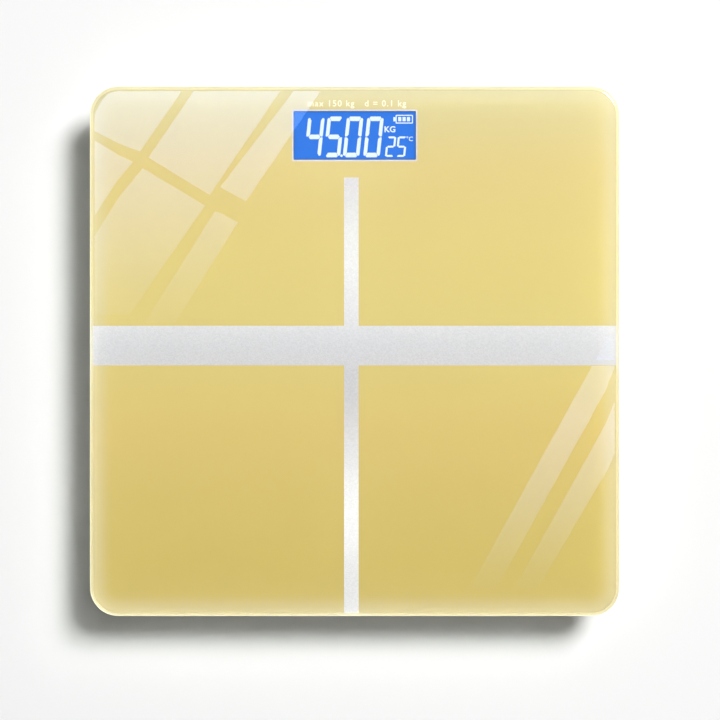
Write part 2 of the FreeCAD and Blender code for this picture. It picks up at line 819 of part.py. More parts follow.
def load_bridge(sx, sy):
    """Cap glued under the glass: it stands on the well's wall, and its boss bears on the cell's tongue."""
    x, y = sx * foot_c, sy * foot_c
    web = base_top - bridge_top_web
    disc = cylinder(well_outer_r, x, y, bridge_bottom, base_top)
    ears, heads = [], []
    for px, py in post_places(sx, sy):
        ears.append(cylinder(post_r + ear_margin, px, py, bridge_bottom, bridge_seat))
        heads.append(cylinder(post_r + ear_margin + 0.1, px, py, bridge_seat, base_top + 1))
        heads.append(cylinder(screw_shank_r + screw_hole_gap, px, py, bridge_bottom - 1, base_top + 1))
    boss = cylinder(bridge_boss_r, x, y, load_cell_top, bridge_bottom + 1)
    hollow = cylinder(well_inner_r - bridge_rim, x, y, bridge_bottom - 1, web)
    hollow = hollow.cut(cylinder(bridge_boss_r + bridge_rim, x, y, 0, base_top))
    spokes = []
    half = spoke_width / 2
    for index in range(spoke_count):
        spoke = box(x, x + well_outer_r - 1, y - half, y + half, bridge_bottom, web + 0.5)
        spoke.rotate(V(x, y, 0), V(0, 0, 1), (index + 0.5) * 360.0 / spoke_count)
        spokes.append(spoke)
    cap = disc.fuse(ears).cut(hollow).fuse(spokes + [boss]).cut(heads)
    return cap.removeSplitter()


def screw(x, y, seat):
    """A pan-head self-tapping screw with a cross recess, standing upright with its head on seat."""
    top, tip = seat + screw_head_height, seat - screw_grip
    head = cylinder(screw_head_r, x, y, seat, top)
    head = head.makeFillet(screw_head_round, edges_at(head, top))
    shank = cylinder(screw_shank_r, x, y, tip, seat)
    shank = shank.makeChamfer(screw_tip, edges_at(shank, tip))
    long, short, low = recess_length / 2, recess_width / 2, top - recess_depth
    slots = [box(x - a, x + a, y - b, y + b, low, top + 1) for a, b in ((long, short), (short, long))]
    return head.fuse(shank).cut(slots)


# ---------------------------------------------------------------- display and board
def lcd_parts():
    """The display's own layers, from the front down."""
    rear_front_y = lcd_front_y + lcd_ledge
    front_top = lcd_top - polarizer
    front = frame_block(lcd_half_x, lcd_front_y, lcd_rear_y, front_top - glass_sheet, front_top)
    rear_top = front_top - glass_sheet
    rear = frame_block(lcd_half_x, rear_front_y, lcd_rear_y, rear_top - glass_sheet, rear_top)
    films = [window_block(polarizer_margin, z, z + polarizer) for z in (front_top, lcd_bottom)]
    return front, rear, Part.makeCompound(films)


def backlight_leds():
    """One side-firing lamp at each end of the light guide."""
    near, far = guide_half_x, guide_half_x + led_depth
    low = (guide_front_y + guide_rear_y - led_width) / 2
    high = low + led_width
    lamps = [box(side * near, side * far, low, high, pcb_top, pcb_top + led_height) for side in (-1, 1)]
    return Part.makeCompound(lamps)


def frame_pegs(radius, z0, z1):
    """The frame's four pegs, or the holes that they stand in."""
    inset = (frame_half_x - guide_well_x) / 2
    rows = (frame_front_y + inset, frame_rear_y - inset)
    return [cylinder(radius, side * (frame_half_x - inset), y, z0, z1) for side in (-1, 1) for y in rows]


def lcd_frame():
    """Moulded holder: the display sits on its step, the light guide inside it, four pegs in the board."""
    gap, low = frame_gap, pcb_top - 1
    outer = frame_block(frame_half_x, frame_front_y, frame_rear_y, pcb_top, lcd_top - polarizer)
    seat = frame_block(lcd_half_x + gap, lcd_front_y - gap, lcd_rear_y + gap, lcd_bottom, lcd_top)
    well = frame_block(guide_well_x, guide_front_y - gap, guide_rear_y + gap, low, lcd_top)
    slot_front, slot_rear = lcd_front_y + lcd_pin_slot_margin, lcd_front_y + lcd_ledge - lcd_pin_slot_margin
    pin_slot = frame_block(lcd_half_x - guide_side_inset, slot_front, slot_rear, low, lcd_top)
    body = outer.cut([seat, well, pin_slot])
    return body.fuse(frame_pegs(peg_r, pcb_bottom - peg_proud, pcb_top + 1)).removeSplitter()


def lcd_pins():
    """The pins between the display's contact ledge and the board."""
    y = lcd_front_y + lcd_ledge / 2
    start = lcd_pin_margin - lcd_half_x
    pitch = -2 * start / (pin_count - 1)
    top = lcd_top - polarizer - glass_sheet
    pins = [cylinder(pin_r, start + index * pitch, y, pcb_top, top) for index in range(pin_count)]
    return Part.makeCompound(pins)


def lcd_gasket():
    """Foam frame between the display's front glass and the print."""
    low = lcd_top - polarizer
    front_y, rear_y = lcd_front_y + gasket_inset, lcd_rear_y - gasket_inset
    outer = frame_block(lcd_half_x - gasket_inset, front_y, rear_y, low, print_bottom)
    return outer.cut(window_block(gasket_margin, low - 1, print_bottom + 1))


def main_pcb():
    """Circuit board with its screw, locating and peg holes."""
    board = frame_block(pcb_half_x, pcb_front_y, frame_rear_y, pcb_bottom, pcb_top)
    front, rear = pcb_posts()
    low, high = pcb_bottom - 1, pcb_top + 1
    holes = [cylinder(screw_shank_r + screw_hole_gap, x, y, low, high) for x, y in front]
    holes.extend(cylinder(locating_pin_r + locating_gap, x, y, low, high) for x, y in rear)
    return board.cut(holes + frame_pegs(peg_r + peg_gap, low, high))


def controller_chip():
    """Die under a low dome of black resin, on the board's underside."""
    sphere_r = (drop_r ** 2 + drop_height ** 2) / (2 * drop_height)
    dome = Part.makeSphere(sphere_r, V(drop_x, window_y, pcb_bottom - drop_height + sphere_r))
    return dome.common(cylinder(2 * drop_r, drop_x, window_y, pcb_bottom - 2 * drop_height, pcb_bottom))


def pcb_components():
    """Small parts soldered under the board: two rows of chip parts, a round capacitor and a crystal."""
    parts = []
    for row, start in enumerate((17.5, 7.5)):
        y = window_y - 9.5 - 2.4 * row
        for column in range(5):
            x = start + 2.6 * column
            parts.append(box(x, x + 1.6, y, y + 0.8, pcb_bottom - 0.6, pcb_bottom))
    parts.append(cylinder(2.0, 22.0, window_y + 1.0, pcb_bottom - 2.2, pcb_bottom))
    parts.append(box(-3.0, 0.2, window_y + 7.5, window_y + 9.0, pcb_bottom - 1.2, pcb_bottom))
    return Part.makeCompound(parts)


def temperature_sensor():
    """Thermistor bead standing on two legs at the board's front strip."""
    x, y = sensor_x, pcb_front_y + post_to_front
    bead = Part.makeSphere(sensor_r, V(x, y, pcb_top + sensor_height))
    legs = [cylinder(pin_r, x + side * sensor_r / 2, y, pcb_top, pcb_top + sensor_height) for side in (-1, 1)]
    return bead.fuse(legs)


def unit_button():
    """Push button for the weight unit, reached from below."""
    stem = cylinder(button_r, button_x, button_y, button_face, button_low + 0.1)
    stem = stem.makeFillet(button_round, edges_at(stem, button_face))
    flange = cylinder(button_r + button_lip, button_x, button_y, button_low, button_top)
    dimple_z = button_face + button_dimple - button_dimple_r
    dimple = Part.makeSphere(button_dimple_r, V(button_x, button_y, dimple_z))
    return stem.fuse(flange).cut(dimple).removeSplitter()


def unit_switch():
    """Tact switch body under the board, with the opening for its plunger."""
    half = switch_side / 2
    low = button_top + button_travel + switch_gap
    body = box(button_x - half, button_x + half, button_y - half, button_y + half, low, pcb_bottom)
    opening_top = plunger_top + button_travel + switch_gap
    return body.cut(cylinder(plunger_r + switch_gap, button_x, button_y, low - 1, opening_top))


def switch_plunger():
    """The switch's plunger, which rests on the button."""
    return cylinder(plunger_r, button_x, button_y, button_top, plunger_top)


# ---------------------------------------------------------------- everything, written out
def main():
    """Builds and writes every sub-part."""
    os.makedirs("parts", exist_ok=True)
    write("glass_platform", glass_platform())
    sheet, silver, window = print_sheet(), silver_areas(), window_cut()
    write("colour_print", sheet.cut([silver, window]))
    write("silver_print", sheet.common(silver).cut(window))
    write("platform_adhesive", platform_adhesive())
    write("base_shell", base_shell())

    bridge_screws = []
    for name, (sx, sy) in corners.items():
        x, y = sx * foot_c, sy * foot_c
        row = name.split("_")[0]
        write("foot_pad_" + name, foot_pad(x, y))
        write("foot_cup_" + name, foot_cup(x, y))
        write("load_cell_" + name, load_cell(sx, x, y))
        write("strain_gauge_" + name, strain_gauge(sx, x, y))
        write("load_bridge_" + name, load_bridge(sx, sy))
        bridge_screws.extend(screw(px, py, bridge_seat) for px, py in post_places(sx, sy))
        wires = [tube(wire_route(row, sx, sy, k * wire_pitch), wire_r) for k in (-1, 0, 1)]
        write("load_cell_wires_" + name, Part.makeCompound(wires))
    write("bridge_screws", Part.makeCompound(bridge_screws))

    front, rear, films = lcd_parts()
    write("lcd_front_glass", front)
    write("lcd_rear_glass", rear)
    write("lcd_polarizers", films)
    guide = (guide_half_x, guide_front_y, guide_rear_y)
    write("backlight_guide", frame_block(*guide, guide_bottom, lcd_bottom))
    write("backlight_reflector", frame_block(*guide, pcb_top, guide_bottom))
    write("backlight_leds", backlight_leds())
    write("lcd_frame", lcd_frame())
    write("lcd_pins", lcd_pins())
    write("lcd_gasket", lcd_gasket())
    write("main_pcb", main_pcb())
    write("pcb_screws", Part.makeCompound([screw(x, y, pcb_top) for x, y in pcb_posts()[0]]))
    write("controller_chip", controller_chip())
    write("pcb_components", pcb_components())
    write("temperature_sensor", temperature_sensor())
    write("unit_button", unit_button())
    write("unit_switch", unit_switch())
    write("switch_plunger", switch_plunger())

    write("battery_door", battery_door())
    write("battery_1", battery_cell(1))
    write("battery_2", battery_cell(-1))
    write("battery_springs", battery_springs())
    write("battery_contacts", battery_contacts())
    write("battery_leads", battery_leads())


main()
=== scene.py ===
"""The looks of a square glass bathroom scale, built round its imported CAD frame.

Every sub-assembly is a class that holds its sizes in millimetres, makes its meshes and dresses the CAD parts
that belong to it. Every finish is a small frozen class that makes one node material.
"""

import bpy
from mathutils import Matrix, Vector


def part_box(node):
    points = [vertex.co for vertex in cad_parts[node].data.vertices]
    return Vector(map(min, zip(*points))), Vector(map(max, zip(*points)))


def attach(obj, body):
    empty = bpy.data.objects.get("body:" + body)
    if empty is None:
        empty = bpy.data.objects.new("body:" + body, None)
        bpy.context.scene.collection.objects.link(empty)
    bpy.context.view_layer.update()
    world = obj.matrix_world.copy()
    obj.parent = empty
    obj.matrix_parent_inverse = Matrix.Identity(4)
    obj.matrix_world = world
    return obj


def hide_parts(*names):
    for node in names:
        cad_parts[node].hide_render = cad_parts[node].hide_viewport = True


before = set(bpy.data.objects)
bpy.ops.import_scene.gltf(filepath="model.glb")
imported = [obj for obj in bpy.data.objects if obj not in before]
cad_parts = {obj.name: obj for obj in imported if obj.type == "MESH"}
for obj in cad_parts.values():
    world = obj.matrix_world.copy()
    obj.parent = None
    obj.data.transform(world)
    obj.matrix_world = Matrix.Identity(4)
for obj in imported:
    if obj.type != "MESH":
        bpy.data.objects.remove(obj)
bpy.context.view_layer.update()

import logging
import math
from collections.abc import Sequence
from dataclasses import dataclass
from enum import Enum

import bmesh
import bpy
from mathutils import Matrix, Vector

MM = 0.001
LOG = logging.getLogger("bathroom_scale")

# Points of a cut plate nearer than this, in millimetres, are one point.
JOIN_DISTANCE = 0.0005
# A piece's edge sharper than this many degrees stays sharp.
PIECE_CREASE = 35.0
# How strongly a CAD part's large faces hold their normals, out of 100.
FLAT_WEIGHT = 90
# Which of a digit's seven bars are lit, lettered from the top one clockwise, with the middle one last.
LIT_BARS = {"0": "abcdef", "2": "abdeg", "4": "bcfg", "5": "acdfg"}
# The window light is bluer than the lamps, so that its reflection over the yellow ink is near white.
DAYLIGHT = "#90b4ff"

Point = tuple[float, float]
Place = tuple[float, float, float]
Outline = list[Point]
Colour = tuple[float, float, float, float]
Tree = bpy.types.NodeTree
Socket = bpy.types.NodeSocket
Mesh = bpy.types.Mesh


# ---------------------------------------------------------------- shared helpers
def linear(colour: str) -> Colour:
    """Turns an sRGB colour into linear light.

    Args:
        colour: a hex value such as "#e8dcc0".

    Returns:
        Red, green, blue and an alpha of 1.
    """
    parts = [int(colour[start : start + 2], 16) / 255 for start in (1, 3, 5)]
    red, green, blue = (p / 12.92 if p <= 0.04045 else ((p + 0.055) / 1.055) ** 2.4 for p in parts)
    return red, green, blue, 1.0


def per_mm(size: float) -> float:
    """Pattern scale, in repeats per metre, of a pattern whose features are this many millimetres across."""
    return 1.0 / (size * MM)


def placed(name: str, data: bpy.types.ID) -> bpy.types.Object:
    """Makes an object and links it into the scene.

    Args:
        name: the object's name.
        data: the mesh, curve, lamp or camera that it shows.

    Returns:
        The object.
    """
    made = bpy.data.objects.new(name, data)
    bpy.context.collection.objects.link(made)
    return made


def finished(name: str, shape: bmesh.types.BMesh) -> Mesh:
    """Turns an edited shape into a mesh and frees it.

    Args:
        name: the mesh's name.
        shape: the edited shape.

    Returns:
        The mesh.
    """
    mesh = bpy.data.meshes.new(name)
    shape.to_mesh(mesh)
    shape.free()
    return mesh


# ---------------------------------------------------------------- node helpers
def add_node(tree: Tree, kind: str, feeds: dict | None = None, **settings: object) -> bpy.types.Node:
    """Adds a node to a tree.

    Args:
        tree: the material's or the modifier's tree.
        kind: the node's type name.
        feeds: what goes into each input, by its name or number: another node's output, or a value.
        settings: the node's own properties, set before its inputs.

    Returns:
        The new node.
    """
    node = tree.nodes.new(kind)
    for name, value in settings.items():
        setattr(node, name, value)
    for key, value in (feeds or {}).items():
        for item in value if isinstance(value, list) else [value]:
            if isinstance(item, bpy.types.NodeSocket):
                tree.links.new(item, node.inputs[key])
            else:
                node.inputs[key].default_value = item
    return node


def own_point(tree: Tree) -> Socket:
    """Adds the node that gives a point's place on its piece, in metres."""
    return add_node(tree, "ShaderNodeTexCoord").outputs["Object"]


def axes(tree: Tree, point: Socket) -> Sequence[Socket]:
    """Adds the node that splits a point into its X, Y and Z."""
    return add_node(tree, "ShaderNodeSeparateXYZ", {0: point}).outputs


def reckon(tree: Tree, operation: str, first: Socket | float, second: Socket | float = 0.0) -> Socket:
    """Adds one step of arithmetic.

    Args:
        tree: the tree.
        operation: the step, such as "MAXIMUM".
        first: its first value.
        second: its second value, which some steps leave unused.

    Returns:
        The result.
    """
    return add_node(tree, "ShaderNodeMath", {0: first, 1: second}, operation=operation).outputs[0]


def clouds(tree: Tree, here: Socket, size: float, detail: float = 3.0, **more: float) -> Socket:
    """Adds a cloudy pattern.

    Args:
        tree: the material's tree.
        here: the point it is read at.
        size: how wide its features are, in millimetres.
        detail: how many finer layers lie over it.
        more: the pattern's other inputs.

    Returns:
        Its value, between 0 and 1.
    """
    feeds = {"Vector": here, "Scale": per_mm(size), "Detail": detail, **more}
    return add_node(tree, "ShaderNodeTexNoise", feeds).outputs[0]


def spread(tree: Tree, value: Socket, low: Socket | float = 0.0, high: Socket | float = 1.0,
           start: float = 0.0, end: float = 1.0, smooth: bool = False) -> Socket:
    """Adds the node that stretches one span of a value over another, and holds it beyond.

    Args:
        tree: the tree.
        value: what is stretched.
        low: the result at the span's start.
        high: the result at its end.
        start: where the span starts.
        end: where it ends.
        smooth: eases in and out.

    Returns:
        The stretched value.
    """
    feeds = {"Value": value, "From Min": start, "From Max": end, "To Min": low, "To Max": high}
    kind = "SMOOTHSTEP" if smooth else "LINEAR"
    return add_node(tree, "ShaderNodeMapRange", feeds, interpolation_type=kind).outputs[0]


def mixed(tree: Tree, share: Socket, first: Socket | Colour, second: Socket | Colour) -> Socket:
    """Adds the mix of two colours, the first where the share is 0 and the second where it is 1."""
    return add_node(tree, "ShaderNodeMix", {0: share, 6: first, 7: second}, data_type="RGBA").outputs[2]


def toned(tree: Tree, colour: Socket | Colour, value: Socket) -> Socket:
    """Adds the node that makes a colour lighter or darker."""
    return add_node(tree, "ShaderNodeHueSaturation", {"Color": colour, "Value": value}).outputs[0]


def bumped(tree: Tree, height: Socket, strength: float, depth: float) -> Socket:
    """Adds a relief of a depth in millimetres to the surface."""
    feeds = {"Strength": strength, "Distance": depth * MM, "Height": height}
    return add_node(tree, "ShaderNodeBump", feeds).outputs[0]


def skin(tree: Tree, **feeds: object) -> Socket:
    """Adds the main surface node.

    Args:
        tree: the material's tree.
        feeds: what goes into each input, by its name with a line for each blank.

    Returns:
        Its shader.
    """
    named = {key.replace("_", " "): value for key, value in feeds.items()}
    return add_node(tree, "ShaderNodeBsdfPrincipled", named).outputs[0]


def run_of_colours(tree: Tree, here: Socket, stops: Sequence[tuple[float, Colour]]) -> Socket:
    """Adds colours that follow one another along Y.

    Args:
        tree: the material's tree.
        here: the point they are read at.
        stops: each colour with its level in millimetres, from the front to the rear.

    Returns:
        The colour at the point.
    """
    low, high = stops[0][0], stops[-1][0]
    run = spread(tree, axes(tree, here)[1], start=low * MM, end=high * MM)
    ramp = add_node(tree, "ShaderNodeValToRGB", {"Fac": run})
    steps = ramp.color_ramp.elements
    steps[0].color, steps[1].color = stops[0][1], stops[-1][1]
    for level, colour in stops[1:-1]:
        steps.new((level - low) / (high - low)).color = colour
    return ramp.outputs[0]


def edge_reach(tree: Tree, here: Socket, half: float, corner: float) -> Socket:
    """Adds the nodes that tell how far a point lies outside a rounded square, in metres and negative inside.

    Args:
        tree: the material's tree.
        here: the point.
        half: half the square's side in millimetres.
        corner: its corner radius.

    Returns:
        The distance.
    """
    inner = (half - corner) * MM
    point = here
    steps = (("MULTIPLY", (1.0, 1.0, 0.0)), ("ABSOLUTE", (0.0, 0.0, 0.0)), ("SUBTRACT", (inner, inner, 0.0)),
             ("MAXIMUM", (0.0, 0.0, 0.0)))
    for operation, by in steps:
        point = add_node(tree, "ShaderNodeVectorMath", {0: point, 1: by}, operation=operation).outputs[0]
    away = add_node(tree, "ShaderNodeVectorMath", {0: point}, operation="LENGTH")
    return reckon(tree, "SUBTRACT", away.outputs["Value"], corner * MM)


# ---------------------------------------------------------------- mesh helpers
def rounded_outline(half_x: float, half_y: float, radius: float, centre: Point = (0.0, 0.0),
                    steps: int = 12) -> Outline:
    """The outline of a rounded rectangle, anticlockwise.

    Args:
        half_x: half its width in millimetres.
        half_y: half its height.
        radius: its corner radius.
        centre: its middle.
        steps: how many steps each corner has.

    Returns:
        Its points in millimetres.
    """
    corners = ((1, 1, 0), (-1, 1, 90), (-1, -1, 180), (1, -1, 270))
    points = []
    for side_x, side_y, start in corners:
        for step in range(steps + 1):
            angle = math.radians(start + 90 * step / steps)
            x = centre[0] + side_x * (half_x - radius) + radius * math.cos(angle)
            y = centre[1] + side_y * (half_y - radius) + radius * math.sin(angle)
            points.append((x, y))
    return points


def closed_mesh(curve: bpy.types.Curve, low: float, high: float, shift: Point = (0.0, 0.0),
                flip: bool = False) -> Mesh:
    """Turns a flat curve or a text, drawn in millimetres, into a closed plate in metres.

    Args:
        curve: the flat curve or text data.
        low: height of the plate's underside in millimetres.
        high: height of its top.
        shift: where its origin goes, in millimetres.
        flip: mirrors it in X, for marks that are read from below.

    Returns:
        The plate's mesh, with its place in it.
    """
    curve.extrude = (high - low) / 2
    holder = placed("outline", curve)
    evaluated = holder.evaluated_get(bpy.context.evaluated_depsgraph_get())
    mesh = bpy.data.meshes.new_from_object(evaluated)
    bpy.data.objects.remove(holder)
    side = -1.0 if flip else 1.0
    place = Matrix.Translation(Vector((shift[0], shift[1], (low + high) / 2)) * MM)
    mesh.transform(place @ Matrix.Diagonal((side * MM, MM, MM, 1.0)))
    joined = bmesh.new()
    joined.from_mesh(mesh)
    bmesh.ops.remove_doubles(joined, verts=joined.verts, dist=JOIN_DISTANCE * MM)
    bmesh.ops.recalc_face_normals(joined, faces=joined.faces)
    joined.to_mesh(mesh)
    joined.free()
    return mesh


def plate(outlines: Sequence[Outline], low: float, high: float) -> Mesh:
    """A flat plate filled between outlines, of which the inner ones are holes.

    Args:
        outlines: closed outlines in millimetres.
        low: height of its underside.
        high: height of its top.

    Returns:
        The plate's mesh.
    """
    curve = bpy.data.curves.new("outline", "CURVE")
    curve.dimensions = "2D"
    curve.fill_mode = "BOTH"
    for points in outlines:
        spline = curve.splines.new("POLY")
        spline.points.add(len(points) - 1)
        for knot, (x, y) in zip(spline.points, points):
            knot.co = (x, y, 0.0, 1.0)
        spline.use_cyclic_u = True
    return closed_mesh(curve, low, high)


def lettering(words: str, size: float, levels: Point, at: Point, flip: bool = False, bolder: float = 0.0,
              spacing: float = 1.0) -> Mesh:
    """A plate for each letter of some plain words.

    Args:
        words: generic words or numbers.
        size: the height of the type in millimetres.
        levels: heights of the letters' underside and top.
        at: the middle of the words' base line.
        flip: mirrors them, for words that are read from below.
        bolder: how far each edge moves out.
        spacing: how widely the letters are set.

    Returns:
        The letters' mesh.
    """
    text = bpy.data.curves.new("words", "FONT")
    text.body = words
    text.size = size
    text.align_x = "CENTER"
    text.resolution_u = 3
    text.offset = bolder
    text.space_character = spacing
    return closed_mesh(text, *levels, at, flip)


def turned(profile: Outline, centre: Point, steps: int = 96) -> Mesh:
    """A round piece turned from a profile.

    Args:
        profile: radius and height pairs in millimetres, from the axis and back to it.
        centre: where its axis stands.
        steps: how many steps go round.

    Returns:
        The closed mesh.
    """
    shape = bmesh.new()
    turn = [2 * math.pi * step / steps for step in range(steps)]
    rings = []
    for radius, height in profile:
        ring = [(centre[0] + radius * math.cos(a), centre[1] + radius * math.sin(a)) for a in turn]
        points = ring if radius else [centre]
        rings.append([shape.verts.new((x * MM, y * MM, height * MM)) for x, y in points])
    for inner, outer in zip(rings, rings[1:]):
        for step in range(steps):
            after = (step + 1) % steps
            corners = [inner[step % len(inner)], inner[after % len(inner)]]
            corners += [outer[after % len(outer)], outer[step % len(outer)]]
            shape.faces.new(list(dict.fromkeys(corners)))
    bmesh.ops.recalc_face_normals(shape, faces=shape.faces)
    return finished("turned", shape)


def swept_rim(profile: Outline, half: float, corner: float, steps: int = 16) -> Mesh:
    """A closed band round a rounded square.

    Args:
        profile: the band's closed section, as distance inside the square and height pairs in millimetres.
        half: half the square's side.
        corner: its corner radius.
        steps: how many steps each corner has.

    Returns:
        The band's mesh.
    """
    shape = bmesh.new()
    rings = []
    for inset, height in profile:
        path = rounded_outline(half - inset, half - inset, corner - inset, steps=steps)
        rings.append([shape.verts.new((x * MM, y * MM, height * MM)) for x, y in path])
    for index, ring in enumerate(rings):
        other = rings[(index + 1) % len(rings)]
        for step in range(len(ring)):
            after = (step + 1) % len(ring)
            shape.faces.new((ring[step], ring[after], other[after], other[step]))
    bmesh.ops.recalc_face_normals(shape, faces=shape.faces)
    return finished("rim", shape)


# ---------------------------------------------------------------- finishes
@dataclass(frozen=True)
class Finish:
    """What every finish has: the real material's name and its main colour."""

    name: str
    tint: str = "#ffffff"

    def surface(self, tree: Tree) -> Socket:
        """Adds the finish's nodes and returns the shader they end in."""
        raise NotImplementedError

    def material(self) -> bpy.types.Material:
        """Returns the finish's material, made once."""
        made = bpy.data.materials.get(self.name)
        if made is None:
            made = bpy.data.materials.new(self.name)
            made.use_nodes = True
            made.node_tree.nodes.clear()
            shader = self.surface(made.node_tree)
            add_node(made.node_tree, "ShaderNodeOutputMaterial", {"Surface": shader})
        return made


@dataclass(frozen=True)
class MouldedPlastic(Finish):
    """Injection-moulded plastic: its grain breaks up the gloss, and the melt's flow leaves faint clouds."""

    shade: str = "#d8d8d4"
    roughness: float = 0.42
    smoother: float = 0.06
    rougher: float = 0.08
    grain: float = 0.45
    grain_span: Point = (0.3, 0.7)
    depth: float = 0.018
    cloud: float = 24.0

    def surface(self, tree: Tree) -> Socket:
        """Adds the plastic's nodes and returns its shader."""
        here = own_point(tree)
        colour = mixed(tree, clouds(tree, here, self.cloud), linear(self.tint), linear(self.shade))
        grain = clouds(tree, here, self.grain, detail=2.0, Roughness=0.6)
        start, end = self.grain_span
        gloss = spread(tree, grain, self.roughness - self.smoother, self.roughness + self.rougher, start, end)
        relief = bumped(tree, grain, strength=0.7, depth=self.depth)
        return skin(tree, Base_Color=colour, Roughness=gloss, Normal=relief, IOR=1.53)


@dataclass(frozen=True)
class WorkedMetal(Finish):
    """Plated or stamped metal: a hard reflection with fine drawn lines and duller handled spots."""

    roughness: float = 0.28
    smoother: float = 0.06
    rougher: float = 0.16
    line: float = 0.25
    along: Place = (0.06, 1.0, 1.0)
    spot: float = 6.0
    spot_span: Point = (0.35, 0.7)

    def surface(self, tree: Tree) -> Socket:
        """Adds the metal's nodes and returns its shader."""
        here = own_point(tree)
        drawn = add_node(tree, "ShaderNodeMapping", {"Vector": here, "Scale": self.along}).outputs[0]
        lines = clouds(tree, drawn, self.line)
        spots = clouds(tree, here, self.spot, detail=4.0)
        start, end = self.spot_span
        dull = spread(tree, spots, self.roughness - self.smoother, self.roughness + self.rougher, start, end)
        colour = toned(tree, linear(self.tint), spread(tree, lines, low=0.88, high=1.08))
        relief = bumped(tree, lines, strength=0.35, depth=0.01)
        return skin(tree, Base_Color=colour, Metallic=1.0, Roughness=dull, Normal=relief)


@dataclass(frozen=True)
class SoftRubber(Finish):
    """Moulded rubber or foam: matt, with open pores or a dusty bloom that takes the edge off its colour."""

    shade: str = "#555555"
    pore: float = 0.6
    depth: float = 0.05
    bloom: float = 9.0
    roughness: float = 0.78
    uneven: float = 0.1

    def surface(self, tree: Tree) -> Socket:
        """Adds the rubber's nodes and returns its shader."""
        here = own_point(tree)
        pores = add_node(tree, "ShaderNodeTexVoronoi", {"Vector": here, "Scale": per_mm(self.pore)})
        bloom = clouds(tree, here, self.bloom, detail=4.0)
        colour = mixed(tree, bloom, linear(self.tint), linear(self.shade))
        relief = bumped(tree, pores.outputs["Distance"], strength=0.5, depth=self.depth)
        rough = spread(tree, bloom, self.roughness - self.uneven, self.roughness + self.uneven)
        return skin(tree, Base_Color=colour, Roughness=rough, Normal=relief, IOR=1.5)


@dataclass(frozen=True)
class ClearSheet(Finish):
    """Polished glass or acrylic: it bends what lies behind it, and lets the lamps light what is under it."""

    ior: float = 1.52

    def surface(self, tree: Tree) -> Socket:
        """Adds the sheet's nodes and returns its shader."""
        body = skin(tree, Base_Color=linear(self.tint), Roughness=0.0, IOR=self.ior, Transmission_Weight=1.0)
        lamp_side = add_node(tree, "ShaderNodeBsdfTransparent", {"Color": linear(self.tint)}).outputs[0]
        to_lamp = add_node(tree, "ShaderNodeLightPath").outputs["Is Shadow Ray"]
        return add_node(tree, "ShaderNodeMixShader", {0: to_lamp, 1: body, 2: lamp_side}).outputs[0]


@dataclass(frozen=True)
class EnamelInk(Finish):
    """Screen-printed yellow enamel under glass: deeper towards the front, paler towards its borders with a
    painted glow, and with a painted shadow line along its very edge.
    """

    shades: tuple[tuple[float, str], ...] = (
        (-128.0, "#a6955a"), (-106.0, "#a79656"), (-73.0, "#aa995b"), (-40.0, "#af9c60"), (-8.0, "#b0a064"),
        (20.0, "#b2a368"), (50.0, "#b3a46a"), (91.0, "#b3a36f"), (124.0, "#afa57d"),
    )
    # Painted glow: towards the borders the ink is mixed with this paler colour, up to this share at the edge,
    # over this many millimetres in.
    pale: str = "#aca899"
    painted_glow_share: float = 0.42
    half_side: float = 128.6
    corner: float = 12.6
    border: float = 10.0
    # Painted shadow: a darker line of this width in millimetres and this tone along the very edge.
    painted_line_width: float = 1.0
    painted_line_tone: float = 0.93
    pigment: float = 0.7

    def surface(self, tree: Tree) -> Socket:
        """Adds the ink's nodes and returns its shader."""
        here = own_point(tree)
        deep = run_of_colours(tree, here, [(level, linear(shade)) for level, shade in self.shades])
        outer = edge_reach(tree, here, self.half_side, self.corner)
        # Painted glow: the ink turns paler towards its borders, standing in for light from the glass edge.
        thin = spread(tree, outer, high=self.painted_glow_share, start=-self.border * MM, end=0.0, smooth=True)
        with_painted_glow = mixed(tree, thin, deep, linear(self.pale))
        pigment = spread(tree, clouds(tree, here, self.pigment, detail=2.0), low=0.99, high=1.01)
        # Painted shadow: the ink darkens along its outermost half millimetre.
        painted_line_width = self.painted_line_width * MM
        painted_edge_line = spread(tree, outer, low=1.0, high=self.painted_line_tone, start=-painted_line_width, end=-painted_line_width / 2)
        colour = toned(tree, with_painted_glow, reckon(tree, "MULTIPLY", pigment, painted_edge_line))
        return skin(tree, Base_Color=colour, Roughness=0.5, IOR=1.5, Specular_IOR_Level=0.15)


@dataclass(frozen=True)
class GlitterInk(Finish):
    """Silver ink full of aluminium flakes, with a fine sparkle; its colour runs lighter and darker along its
    length, with two broad bright bands that are painted reflections.
    """

    # Painted reflections: the colour steps along Y hold two broad bright bands standing in for reflected
    # light.
    shades: tuple[tuple[float, str], ...] = (
        (-128.0, "#b9b9c0"), (-112.0, "#bdbec4"), (-95.0, "#cacad1"), (-80.0, "#ceced5"), (-65.0, "#cacad1"),
        (-50.0, "#bcbcc4"), (-35.0, "#b2b1b8"), (-22.0, "#aaa9b0"), (-9.0, "#a9a8af"), (-6.9, "#acabb2"),
        (2.8, "#afafb6"), (12.5, "#b7b7be"), (14.0, "#bab9c0"), (28.0, "#c1c1c8"), (42.0, "#c6c6cd"),
        (60.0, "#c2c2c8"), (72.0, "#babac0"), (86.0, "#b5b2ba"),
    )
    flake: float = 0.55

    def surface(self, tree: Tree) -> Socket:
        """Adds the ink's nodes and returns its shader."""
        here = own_point(tree)
        # Painted reflections: the colour along the length carries the bright bands.
        base = run_of_colours(tree, here, [(level, linear(shade)) for level, shade in self.shades])
        flakes = add_node(tree, "ShaderNodeTexVoronoi", {"Vector": here, "Scale": per_mm(self.flake)})
        spark = add_node(tree, "ShaderNodeSeparateColor", {0: flakes.outputs["Color"]})
        colour = toned(tree, base, spread(tree, spark.outputs[0], low=0.93, high=1.05))
        gloss = spread(tree, spark.outputs[1], low=0.35, high=0.6)
        relief = bumped(tree, flakes.outputs["Distance"], strength=0.25, depth=0.02)
        return skin(tree, Base_Color=colour, Metallic=0.12, Roughness=gloss, Normal=relief)


